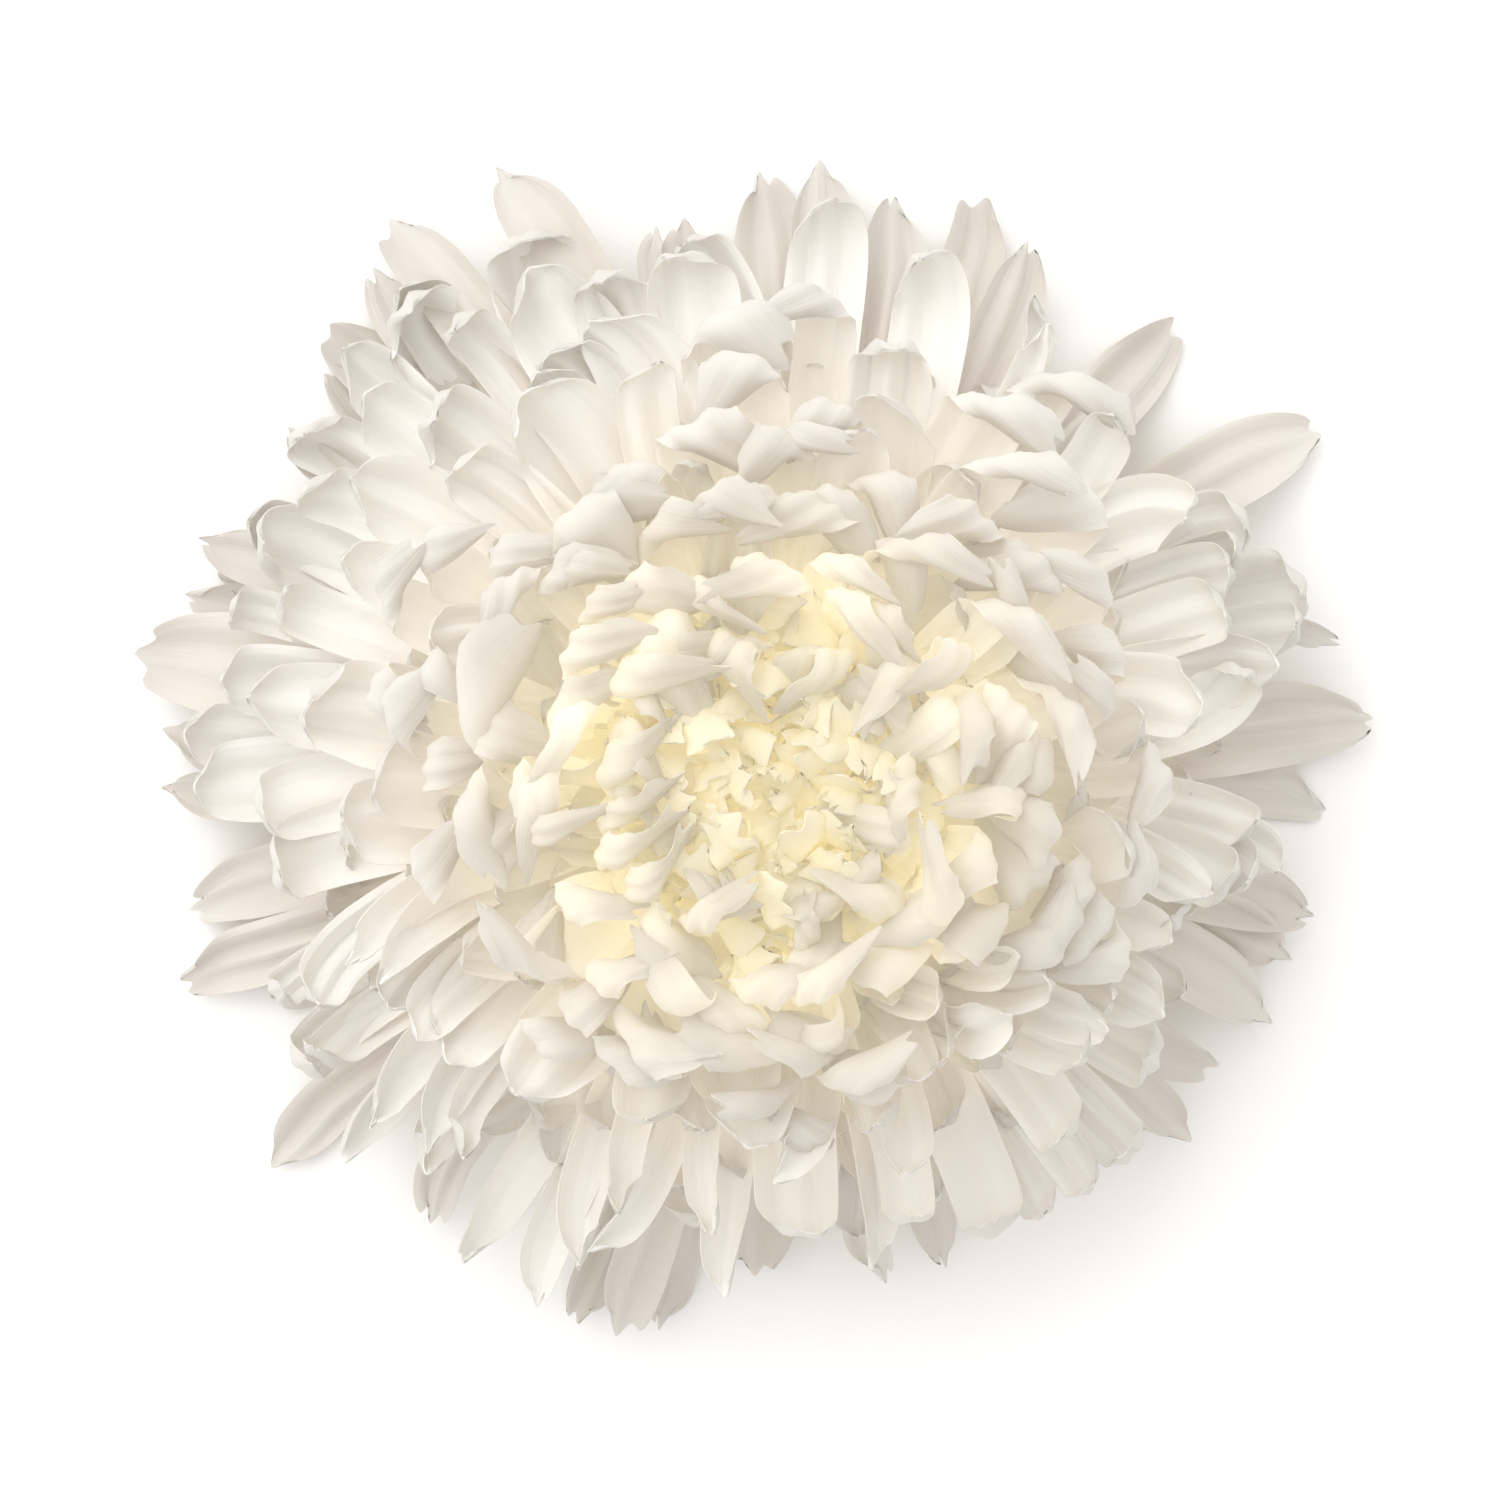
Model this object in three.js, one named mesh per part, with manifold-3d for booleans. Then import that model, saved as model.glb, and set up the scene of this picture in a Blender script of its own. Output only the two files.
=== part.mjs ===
// Disbud chrysanthemum, one large white bloom cut with a short stub of its stem.
// It lies face up and rests on its drooping guard petals. Millimetres, +Z up, and the origin is at the
// middle of the bloom's footprint, on the surface that it rests on.

import * as THREE from 'three';
import { mergeGeometries, mergeVertices } from 'three/addons/utils/BufferGeometryUtils.js';
import Module from 'manifold-3d';

const wasm = await Module();
wasm.setup();

// Driving dimensions

const heart = { x: 1.6, y: -4.7 }; // the bloom's axis, a little off the middle of the spread
const clearance = 0.3; // between neighbouring pieces
const ribThickness = 1.2; // of a petal along its midrib
const floor = { side: 200, depth: 20 }; // what lies under the surface is cut away

// Distance from the bloom's axis and height of the petal ends, over the whole head
const domeOfTips = [[0, 55], [12, 60], [22, 62], [32, 59], [42, 51], [52, 41], [62, 28], [72, 15], [90, 6]];

// Distance from the axis and height of the solid middle that the petals stand out of
const coreProfile = [[23, 24.2], [29, 28], [32, 33], [31, 39.5], [26.5, 45], [20, 48.5], [17.2, 47]];
const coreWell = { radius: 17.2, floor: 38 };
const shoulder = { inner: 19.2, outer: 27, share: 0.74, height: 41, reach: 34 };
const coreSocket = [[10.9, 24.4], [8.4, 27.1], [0, 28.7]];

// Stem, from its cut end to the top of the receptacle
const stemProfile = [
  [3.1, 2], [3.2, 8], [3.7, 13.5], [5.2, 17],
  [9, 20.4], [10.5, 22.4], [10.5, 24], [8, 26.6],
];
const stemTop = 28.2;
const stemRidges = { count: 6, depth: 0.22, innermost: 0.001, fadeFrom: 13, upTo: 15 };

// Cup of green bracts round the receptacle
const calyxInside = [[4.3, 14.4], [5.7, 16.7], [9.4, 20], [11, 22.3]];
const calyxWall = { outward: 0.825, downward: 0.715 };
const bracts = {
  rows: [
    { count: 6, length: 7.5, width: 4.8, start: 5.6, height: 15.6, rise: 40 },
    { count: 8, length: 8.5, width: 5.6, start: 8, height: 17.8, rise: 26 },
    { count: 9, length: 8.5, width: 5.8, start: 10.4, height: 20, rise: 12 },
  ],
  turn: 0.37, // of each bract against the one before it, as a share of their spacing
  thickness: 0.8,
};

// The heart's own small core, and the room over it that the ray petals leave free
const heartCore = [[16.8, 38.4], [16.8, 43.5], [14, 46.5], [7, 48]];
const heartCoreTop = 48.4;
const heartRoom = [[17.2, 38.1], [17.2, 51], [16.6, 54.5], [12, 56.8], [6, 57.6]];
const heartRoomTop = 57.8;
const florets = {
  count: 40,
  innerReach: 2.5,
  outerReach: 16.5,
  shortest: 4,
  longest: 8,
  footHeight: 43.5,
  footShare: 0.6, // how near to the axis a floret's foot stands, against its tip
  tipHeight: 48,
  tipSlope: 0.12, // the outer ones end lower
  outwardBow: 1.2,
  width: 5,
  widthSpread: 0.25,
  rib: 0.9,
};
const innermost = { bendHeight: 51.5, spread: 1.2, rise: 6, tipRise: 1.5 };

// Where the petals grow from the receptacle: the radius and height of their feet, by how far they reach
const feet = { innerRadius: 3, outerRadius: 11, innerHeight: 31, outerHeight: 25.5, longestReach: 70 };
const openStart = 0.4; // how far along to its body an open petal leaves the slope of its root
const innerRootRise = { angle: 34, within: 60, blend: 35 }; // steeper starts of those that reach less far

// Height of the petal ends: over the surface for guard petals, and under the dome for the others
const endHeight = {
  guard: 5.5,
  guardSpread: 3.5,
  onSurface: -0.4,
  onSurfaceEvery: 5,
  open: 4,
  incurved: 3,
  spread: 1.2,
};

// How an incurved petal rises to its bend and falls over to its tip. Lean is how far out it leans while
// it rises, bow how far it swings out past its bend, and lift and height how much higher it is there.
const incurve = {
  nearLean: 0.7,
  farLean: 0.95,
  riseShare: 0.4,
  bow: 0.75,
  lift: 0.5,
  height: 3.2,
  tipRise: 0.1,
};

// Width of a petal along its length: a narrow claw, a full body, and a narrowing from its shoulder on
const outline = { claw: 0.34, clawEnd: 0.1, bodyStart: 0.68, shoulder: 0.76, roundness: 2.2 };

// Cross-sections along a petal, as shares of its length outside the core, and how far it is sunk in there
const guardCuts = { shares: [0, 0.55, 1], sunk: 0.04 };
const openCuts = { shares: [0, 0.45, 0.82, 1], sunk: 0.06 };
const incurvedCuts = { shares: [0, 0.4, 0.66, 0.84, 1], sunk: 0.08 };
const floretCuts = [0, 0.6, 1];
const innermostCuts = [0, 0.45, 0.75, 1];
const bractCuts = [0, 0.5, 1];

// Sides of the round solids, and steps along the midribs
const roundSides = { core: 24, room: 14, heartCore: 16, stem: 36, calyx: 20 };
const curveSteps = { open: 36, incurved: 44, floret: 12, innermost: 20, bract: 8 };
const hoodSteps = 8;

// How each kind of petal ends. Angles are in degrees: rise is the slope at the end of its body, and
// hood is how far the tip then turns up, over hoodLength.
const forms = {
  guard: { rise: -2, hood: 16, hoodLength: 5, cup: 18, rootRise: 2, endWidth: 0.38, roll: 14 },
  spoon: { rise: 33, hood: 50, hoodLength: 4.5, cup: 36, rootRise: 10, endWidth: 0.58, roll: 7 },
  strap: { rise: 12, hood: 22, hoodLength: 4, cup: 44, rootRise: 4, endWidth: 0.36, roll: 10 },
  incurved: { cup: 30, endWidth: 0.42, roll: 8 },
  floret: { cup: 34, endWidth: 0.7, roll: 40 },
  bract: { cup: 22, endWidth: 0.3, roll: 0 },
};
const spread = { rise: 6, hood: 14 }; // how far a petal's angles differ from those of its kind, in degrees

// The petals that show, read by eye from the photograph. Each row of an open petal holds where its tip
// and then its body lie in plan, its width and, in the later lists, its form.

const guardPetals = [
  [-31, 69.5, -21, 57, 8],
  [-44.3, 63, -34, 52, 7.5],
  [-47, 56.8, -40, 46, 6],
  [-52.3, 49.6, -40, 42, 7.5],
  [-57, 37, -47, 30, 4],
  [-67, 24.4, -55, 21, 6],
  [-74.5, 12, -62, 10, 11.5],
  [-68.5, 18.5, -58, 15, 5.5],
  [-71, 1, -61, -2, 5],
  [-71.3, -6, -61, -6, 5.5],
  [-68.3, -18.8, -57, -15.5, 7.5],
  [-69.3, -27, -58, -24.5, 7],
  [-58, -31, -49, -25, 5.5],
  [-57, -51, -51, -41, 6.5],
  [-40, -57, -37, -47, 5.5],
  [-21.5, -69, -17, -57, 5.5],
  [-17, -70.5, -13, -59, 6.5],
  [1, -63.5, 0, -53, 9],
  [14.5, -64.5, 12, -54, 5],
  [22.5, -62.5, 20, -51, 5],
  [52, -47.5, 44, -39, 5.5],
  [55, -39.2, 44, -35, 6],
  [62, -33, 52, -26, 8],
  [64.3, -25, 54, -20, 7],
  [67, -19.6, 54, -17, 8],
  [68.8, -6.5, 56, -4, 6.5],
  [74.2, 3.5, 61, 3, 9.5],
  [69.8, 12.2, 62, 16, 3],
  [68, 38, 54, 33, 9],
  [45.3, 41, 37, 34, 6],
  [51, 50.5, 41, 41, 8],
  [33.5, 60, 29, 47, 7],
  [28.3, 65.5, 24.5, 53, 7],
  [17, 66, 16, 53, 8],
  [8, 70.3, 8.5, 58, 7],
  [0.5, 68.8, 3, 56, 8.5],
  [-9, 63.3, -8, 53, 6.5],
];

const outerPetals = [
  [-61.3, 27.8, -49, 25, 7, 'spoon'],
  [-43.5, 53.3, -33, 41, 13, 'spoon'],
  [-50, 47.5, -40, 40, 8.5, 'spoon'],
  [-55.3, 38.3, -44, 34, 8, 'spoon'],
  [-54.5, 31, -44, 28.5, 7, 'spoon'],
  [-60.5, 24.5, -48, 22, 11, 'spoon'],
  [-64.5, 7.5, -53, 9, 8.5, 'spoon'],
  [-69, 2, -59, 1, 8, 'spoon'],
  [-61.5, 4.5, -50, 3.5, 10.5, 'spoon'],
  [-67.8, -5, -56, -4, 9.5, 'spoon'],
  [-60, -8.5, -50, -5, 9, 'spoon'],
  [-58.5, -15, -48, -11, 9.5, 'spoon'],
  [-57.7, 17.5, -49, 12.5, 7, 'spoon'],
  [-28, 57, -22, 46, 12.5, 'spoon'],
  [-28, 62, -23, 51, 11.5, 'spoon'],
  [-18, 57.5, -15, 47, 9.5, 'spoon'],
  [-8, 59.5, -6, 49, 11, 'spoon'],
  [-8.5, 61, 0.5, 51, 7.5, 'spoon'],
  [8.5, 66, 10, 54, 9, 'spoon'],
  [19.5, 59.3, 22.5, 48, 9, 'spoon'],
  [33.5, 54, 35, 44, 5, 'strap'],
  [43, 39.7, 39, 31, 6.5, 'spoon'],
  [59.5, 27, 49, 27, 9, 'spoon'],
  [57.5, 21, 45, 18.5, 7.5, 'spoon'],
  [56.5, 17, 44, 14, 8, 'spoon'],
  [66, 19.5, 55, 18, 9.5, 'spoon'],
  [65.5, 14, 54, 13.5, 7.5, 'spoon'],
  [62.5, 9, 51, 10, 9, 'spoon'],
  [58.6, 9.5, 53, -0.5, 8, 'spoon'],
  [59.8, -10, 48, -6, 6, 'spoon'],
  [63.5, -14.5, 54, -7, 6.5, 'spoon'],
  [57.5, -16.8, 46, -9.5, 7.5, 'spoon'],
  [51, -21.3, 41, -14, 7, 'spoon'],
  [49.7, -23.5, 40, -18, 6, 'spoon'],
  [49, -32, 38, -26, 8.5, 'spoon'],
  [48.5, -38, 38, -32, 8.5, 'spoon'],
  [45.8, -49.3, 37, -39, 7, 'spoon'],
  [40.5, -53.5, 33, -42, 6, 'spoon'],
  [35, -56.5, 28, -43, 5.5, 'spoon'],
  [29, -59, 24, -45, 8, 'spoon'],
  [14.3, -62.5, 14, -50, 6, 'strap'],
  [18.5, -57.5, 18, -46, 6, 'spoon'],
  [5, -59, 4, -47, 9.5, 'spoon'],
  [-4.5, -66, -4, -51, 6.5, 'strap'],
  [-5, -58.5, -8.5, -47, 5, 'strap'],
  [-20.5, -62.7, -20.5, -49, 7, 'strap'],
  [-26.7, -67, -24, -53, 6.5, 'strap'],
  [-34.7, -62.5, -29.5, -49, 7, 'strap'],
  [-16.7, -56, -17.5, -44, 5.5, 'strap'],
  [-40.7, -51, -38, -41, 7, 'strap'],
  [-50.5, -49.5, -45.5, -38, 7, 'strap'],
  [-46, -45.7, -42, -35, 7.5, 'strap'],
  [-35.5, -49.3, -32.5, -39, 6.5, 'strap'],
  [-55.3, -39, -48, -30, 6.5, 'spoon'],
  [-53.3, -31, -47, -19.5, 7, 'spoon'],
  [-58.3, -30.3, -50, -22, 5, 'spoon'],
];

const middlePetals = [
  [-47.8, 41, -37, 36, 9, 'spoon'],
  [-39.7, 40.2, -30, 34.5, 10.5, 'spoon'],
  [-49, 31.5, -37, 28, 10, 'spoon'],
  [-49.8, 21, -39, 21, 7.5, 'spoon'],
  [-36.8, 51.3, -26, 44.5, 6.5, 'spoon'],
  [-36.4, 33.8, -27, 30, 8, 'spoon'],
  [-27.8, 42.5, -18, 32, 14, 'spoon'],
  [-25.5, 47, -16, 40, 10, 'spoon'],
  [-18.8, 52, -9.5, 43, 10.5, 'spoon'],
  [-13.2, 45.6, -13.5, 34, 6.5, 'spoon'],
  [16.5, 48.8, 16, 37, 9.5, 'spoon'],
  [16.5, 41.5, 15, 31, 9, 'spoon'],
  [12, 38, 11.5, 28, 8, 'spoon'],
  [53.2, 3.7, 43, 7, 9, 'spoon'],
  [-54.3, 5, -43, 4, 12, 'spoon'],
  [-50, -9.5, -39, -7.5, 9.5, 'spoon'],
  [-46, -4, -35, -2.5, 10, 'spoon'],
  [-39, 12.3, -27, 16.5, 7, 'spoon'],
  [-45, -27.6, -36, -18, 6.5, 'strap'],
  [-48.7, -26, -40, -17, 5.5, 'strap'],
  [-44, -31.5, -34, -22, 7.5, 'spoon'],
  [-37.5, -37.5, -28, -26, 9.5, 'spoon'],
  [-27.5, -42.5, -22, -31, 11, 'spoon'],
  [-13.5, -45.3, -13, -34, 8.5, 'spoon'],
  [-1, -48, -1, -37, 10, 'spoon'],
  [-1.5, -44, -3, -33, 10.5, 'spoon'],
  [1.8, -51.5, 10, -45, 5, 'strap'],
  [18.3, -51.4, 19, -41, 6, 'spoon'],
  [15.5, -45.5, 12.5, -37, 6, 'spoon'],
  [19, -40.3, 15, -31, 9, 'spoon'],
  [23.2, -36.8, 15, -30, 8, 'spoon'],
  [34.8, -27, 24, -29.5, 7.5, 'spoon'],
  [43, -30.5, 31, -28, 7, 'spoon'],
  [39.5, -37, 26.5, -34.5, 7, 'spoon'],
  [37.5, -47.3, 30.5, -37, 7, 'spoon'],
  [29.5, -31, 23.5, -36, 6.5, 'spoon'],
  [46.5, 2.5, 38, 0, 7, 'spoon'],
  [44.5, -10.7, 34, -14, 8.5, 'spoon'],
];

// Petals that rise and curl in, so that their backs show from above. Each row holds where the bend
// and then the tip lie in plan, and the width.
const incurvedPetals = [
  [-4, 53.6, -4.5, 49.3, 11.5],
  [8.3, 55, 8, 51, 8],
  [0, 47.9, -0.5, 43.2, 12],
  [-6.5, 40.8, -7, 36, 11],
  [3, 38.6, 4, 34.5, 6.5],
  [10.5, 42, 12, 38, 8],
  [-14, 35.2, -14.5, 29.5, 7],
  [-4.8, 31.6, -5, 26.5, 8],
  [-22.5, 30, -22.5, 25, 12],
  [9.5, 30, 10.5, 22.8, 7.5],
  [17.5, 26.3, 17, 20, 7],
  [26.5, 29.5, 26.5, 23.5, 7.5],
  [28.8, 36, 30.5, 31, 8],
  [29.5, 43.4, 30, 39, 10.5],
  [36.5, 46.4, 36.5, 41, 9],
  [40.5, 31.5, 38.5, 23, 7.5],
  [35, 23.5, 34.8, 16, 8.5],
  [42.8, 20.8, 40, 15.5, 6],
  [28.5, 18.5, 28.5, 10, 7],
  [22.5, 14.5, 26, 8, 7],
  [45, 12, 41, 9.5, 6],
  [38.7, 5, 33, 3.5, 8],
  [31.5, 7.5, 27.3, 3, 7],
  [37, -3, 32, 1, 8],
  [49.6, -1, 45, -4, 7],
  [36.8, -12, 31, -14, 8],
  [46.8, -18.5, 43, -16.5, 6],
  [45.5, -25.7, 40, -22, 6.5],
  [38.6, -23.3, 32, -22.5, 6.5],
  [30, -24.3, 27, -19.5, 7],
  [30, -12.5, 23.2, -13.5, 6],
  [25.5, -20.5, 17, -15.5, 8],
  [20, -28.5, 18.5, -21, 8],
  [6.3, -39.5, 9.5, -33.5, 6],
  [-0.5, -39.3, 2, -32.5, 9],
  [10.7, -42.3, 12, -35, 7],
  [6.3, -32.5, 8.5, -23.5, 7],
  [-1, -32.5, 0, -26, 6.5],
  [-6, -33.6, -10, -24.5, 6],
  [-16, -36.2, -13, -30, 10],
  [-23, -34.3, -21, -28, 6],
  [-25.5, -28.5, -24, -20, 9],
  [-34.3, -14.5, -28, -14.5, 8],
  [-36.4, -6, -30.5, -6.5, 8.5],
  [-45.2, 3, -40, 2.5, 8],
  [-34, 0.8, -28.5, 9.5, 11],
  [-47.5, 7.5, -44, 9.5, 6],
  [-45.3, 17.5, -40.5, 16.5, 7.5],
  [-40.4, 24.5, -36.8, 20.3, 7.5],
  [-28.8, 22, -26, 17.5, 7],
  [-23.7, 22.5, -21.5, 19.5, 5],
  [-23.5, 13, -19.5, 7.5, 6],
  [-15.7, 15.3, -5, 18.5, 9.5],
  [-17.5, 11, -10.5, 4.5, 7],
  [-2, 15, -5, 8.8, 9],
  [9.5, 13.5, 8, 5, 6.5],
  [21.5, 9.5, 14, 7, 8],
  [20.5, 3, 15.5, 1, 5],
  [20, -9.5, 11, -14, 7],
  [21, -3, 15.5, -5.5, 6],
  [8, -23, 0, -17, 8],
  [-7, -24, -6.5, -17.5, 6],
  [-17.5, -16.5, -9, -17, 6.5],
  [-18.5, 1, -13, -1.5, 6],
  [-19.5, -6, -14, -9, 6],
  [6, 22.5, 2, 16.5, 6.5],
  [3, 24, -3.5, 21.5, 7],
  [11, 20.5, 12, 11, 6],
  [15, 19, 15.5, 15, 5],
  [25, 7, 24.5, -8, 5.5],
  [-22.5, 7, -20, -8, 5.5],
  [-27, -1, -21.5, -9.5, 5],
  [-29, -8, -24, -14, 4.5],
  [-20, -10.5, -13, -16, 6],
];

// The innermost of them, which grow from the heart
const innermostPetals = [
  [9.5, 11, 8.5, 5, 5.5],
  [4, 12, 4, 7, 5],
  [15, 8, 10, 5, 6.5],
  [16.5, 1, 12, -1, 5],
  [-2, 10.5, -3, 5, 8],
  [-12.5, 5.5, -8, 2, 6],
  [-13.5, -3, -9, -4, 6],
  [-11.5, -12, -6.5, -10, 6],
  [-5, -17, -2, -12.5, 6],
  [5, -18.5, 2, -14, 7],
  [12, -15, 8, -12, 5.5],
  [16, -9, 11, -9, 5.5],
  [-7, 8, -4, 3, 5],
];

// Small helpers

const radians = THREE.MathUtils.degToRad;
const lerp = THREE.MathUtils.lerp;
const smoothstep = THREE.MathUtils.smoothstep;
const up = new THREE.Vector3(0, 0, 1);
const goldenAngle = Math.PI * (3 - Math.sqrt(5));

// A repeatable draw from -1 to 1 for a petal's number and a purpose
function draw(number, purpose) {
  const wave = Math.sin(number * 12.9898 + purpose * 78.233) * 43758.5453;
  return 2 * (wave - Math.floor(wave)) - 1;
}

// Value of a curve given as a list of [place, value]
function along(curve, place) {
  for (let i = 1; i < curve.length; i += 1) {
    if (place <= curve[i][0]) {
      const share = (place - curve[i - 1][0]) / (curve[i][0] - curve[i - 1][0]);
      return lerp(curve[i - 1][1], curve[i][1], Math.max(share, 0));
    }
  }
  return curve[curve.length - 1][1];
}

function fromAxis(x, y) {
  return Math.hypot(x - heart.x, y - heart.y);
}

function inCore(point) {
  const reach = fromAxis(point.x, point.y);
  for (let i = 1; i < coreProfile.length; i += 1) {
    const [lowRadius, low] = coreProfile[i - 1];
    const [highRadius, high] = coreProfile[i];
    if (point.z >= low && point.z <= high) {
      return reach < lerp(lowRadius, highRadius, (point.z - low) / (high - low));
    }
  }
  return false;
}

// Where a petal that reaches so far grows from the receptacle, in the direction of (x, y)
function rootOf(reach, x, y) {
  const share = THREE.MathUtils.clamp(reach / feet.longestReach, 0, 1);
  const toward = new THREE.Vector2(x - heart.x, y - heart.y).normalize();
  const radius = lerp(feet.innerRadius, feet.outerRadius, share);
  const height = lerp(feet.innerHeight, feet.outerHeight, share);
  return new THREE.Vector3(heart.x + toward.x * radius, heart.y + toward.y * radius, height);
}

// Where an incurved petal grows from the shoulder of the core, in the direction of (x, y)
function rootInShoulder(reach, x, y) {
  const toward = new THREE.Vector2(x - heart.x, y - heart.y).normalize();
  const radius = THREE.MathUtils.clamp(reach * shoulder.share, shoulder.inner, shoulder.outer);
  return new THREE.Vector3(heart.x + toward.x * radius, heart.y + toward.y * radius, shoulder.height);
}

// Solids

function toManifold(geometry) {
  const bare = geometry.clone();
  bare.deleteAttribute('normal');
  bare.deleteAttribute('uv');
  const merged = mergeVertices(bare, 1e-5);
  return new wasm.Manifold(new wasm.Mesh({
    numProp: 3,
    vertProperties: new Float32Array(merged.attributes.position.array),
    triVerts: new Uint32Array(merged.index.array),
  }));
}

function toGeometry(manifold) {
  const mesh = manifold.getMesh();
  const geometry = new THREE.BufferGeometry();
  geometry.setAttribute('position', new THREE.Float32BufferAttribute(mesh.vertProperties, 3));
  geometry.setIndex(Array.from(mesh.triVerts));
  const merged = mergeVertices(geometry, 1e-4);
  merged.computeVertexNormals();
  return merged;
}

// The largest body of a solid, without loose scraps
function largestBody(manifold) {
  return manifold.decompose().reduce((best, piece) => (piece.volume() > best.volume() ? piece : best));
}

// A solid of revolution about the bloom's axis from [radius, height] points
function turned(profile, sides) {
  const geometry = new THREE.LatheGeometry(profile.map(([r, z]) => new THREE.Vector2(r, z)), sides);
  geometry.rotateX(Math.PI / 2);
  geometry.translate(heart.x, heart.y, 0);
  return geometry;
}

// Petals

// Points along the midrib of an open petal: out from the receptacle, through its body, up into its hood
function openMidrib(row, form, number, tipHeight) {
  const [tipX, tipY, bodyX, bodyY] = row;
  const reach = fromAxis(tipX, tipY);
  const root = rootOf(reach, bodyX, bodyY);
  const tip = new THREE.Vector3(tipX, tipY, tipHeight);
  const body = new THREE.Vector3(bodyX, bodyY, 0);
  const rise = radians(form.rise + spread.rise * draw(number, 1));
  const hood = radians(form.hood + spread.hood * draw(number, 2));
  const outward = new THREE.Vector3(tipX - bodyX, tipY - bodyY, 0).normalize();
  const hoodPoints = [];
  const at = new THREE.Vector3();
  for (let i = 1; i <= hoodSteps; i += 1) {
    const slope = rise + (hood * i) / hoodSteps;
    const step = form.hoodLength / hoodSteps;
    at.addScaledVector(outward, step * Math.cos(slope)).addScaledVector(up, step * Math.sin(slope));
    hoodPoints.push(at.clone());
  }
  tip.sub(at);
  body.z = tip.z - Math.hypot(tip.x - bodyX, tip.y - bodyY) * Math.tan(rise);
  const start = root.clone().lerp(body, openStart);
  const inner = smoothstep(innerRootRise.within - reach, 0, innerRootRise.blend);
  const rootRise = radians(lerp(form.rootRise, innerRootRise.angle, inner));
  start.z = root.z + Math.hypot(start.x - root.x, start.y - root.y) * Math.tan(rootRise);
  const curve = new THREE.CubicBezierCurve3(root, start, body, tip);
  const points = curve.getSpacedPoints(curveSteps.open);
  for (const point of hoodPoints) {
    points.push(point.add(tip));
  }
  return { points, firstOutward: body.clone().sub(root), lastOutward: outward };
}

// Points along the midrib of an incurved petal: up and out to its bend, and over to its tip
function incurvedMidrib(row, number, bendHeight) {
  const [bendX, bendY, tipX, tipY] = row;
  const reach = fromAxis(bendX, bendY);
  const root = reach < shoulder.reach ? rootInShoulder(reach, bendX, bendY) : rootOf(reach, bendX, bendY);
  const over = Math.hypot(bendX - tipX, bendY - tipY);
  const bend = new THREE.Vector3(bendX, bendY, bendHeight);
  const tip = new THREE.Vector3(tipX, tipY, bendHeight + incurve.tipRise * over + draw(number, 1));
  const low = root.clone().lerp(bend, reach < shoulder.reach ? incurve.nearLean : incurve.farLean);
  low.z = lerp(root.z, bendHeight, incurve.riseShare);
  const high = bend.clone().addScaledVector(bend.clone().sub(tip).setZ(0), incurve.bow);
  high.z = bendHeight + incurve.lift * over + incurve.height;
  const curve = new THREE.CubicBezierCurve3(root, low, high, tip);
  const outward = new THREE.Vector3(bendX - tipX, bendY - tipY, 0).normalize();
  const points = curve.getSpacedPoints(curveSteps.incurved);
  return { points, firstOutward: bend.clone().sub(root), lastOutward: outward };
}

// Half the width of a petal, as a share, from its claw at 0 to its tip at 1
function widthShare(place, endWidth) {
  const claw = lerp(outline.claw, 1, smoothstep(place, outline.clawEnd, outline.bodyStart));
  const fromShoulder = Math.max((place - outline.shoulder) / (1 - outline.shoulder), 0);
  return claw * (1 - (1 - endWidth) * fromShoulder ** outline.roundness);
}

// A blade along a midrib: cross-sections of four corners, two edges and the rib's two faces
function blade(midrib, stations, width, rib, form, number) {
  const { points, firstOutward, lastOutward } = midrib;
  const vertices = [];
  for (const place of stations) {
    const at = place * (points.length - 1);
    const before = Math.min(Math.floor(at), points.length - 2);
    const centre = points[before].clone().lerp(points[before + 1], at - before);
    const tangent = points[Math.min(before + 2, points.length - 1)].clone();
    tangent.sub(points[Math.max(before - 1, 0)]).normalize();
    const outward = firstOutward.clone().setZ(0).normalize().lerp(lastOutward, smoothstep(place, 0.3, 0.9));
    const side = up.clone().cross(outward).normalize();
    side.addScaledVector(tangent, -side.dot(tangent)).normalize();
    const normal = tangent.clone().cross(side).normalize();
    const roll = radians(form.roll * draw(number, 3)) * place;
    const rolledSide = side.clone().multiplyScalar(Math.cos(roll)).addScaledVector(normal, Math.sin(roll));
    const rolledNormal = normal.clone().multiplyScalar(Math.cos(roll)).addScaledVector(side, -Math.sin(roll));
    const half = (width / 2) * widthShare(place, form.endWidth);
    const cup = radians(form.cup);
    const reach = (half * Math.sin(cup)) / cup;
    const lift = (half * (1 - Math.cos(cup))) / cup;
    const edge = centre.clone().addScaledVector(rolledNormal, lift);
    vertices.push(edge.clone().addScaledVector(rolledSide, -reach));
    vertices.push(centre.clone().addScaledVector(rolledNormal, rib / 2));
    vertices.push(edge.clone().addScaledVector(rolledSide, reach));
    vertices.push(centre.clone().addScaledVector(rolledNormal, -rib / 2));
  }
  const faces = [];
  for (let i = 0; i + 1 < stations.length; i += 1) {
    const here = i * 4;
    const next = here + 4;
    // from each edge to the rib, alike on the upper and the lower face
    faces.push(here, next + 1, here + 1, here, next, next + 1);
    faces.push(here + 2, here + 1, next + 1, here + 2, next + 1, next + 2);
    faces.push(here, here + 3, next + 3, here, next + 3, next);
    faces.push(here + 2, next + 3, here + 3, here + 2, next + 2, next + 3);
  }
  const end = (stations.length - 1) * 4;
  faces.push(0, 1, 3, 1, 2, 3);
  faces.push(end, end + 3, end + 1, end + 1, end + 3, end + 2);
  const geometry = new THREE.BufferGeometry().setFromPoints(vertices);
  geometry.setIndex(faces);
  return geometry;
}

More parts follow.
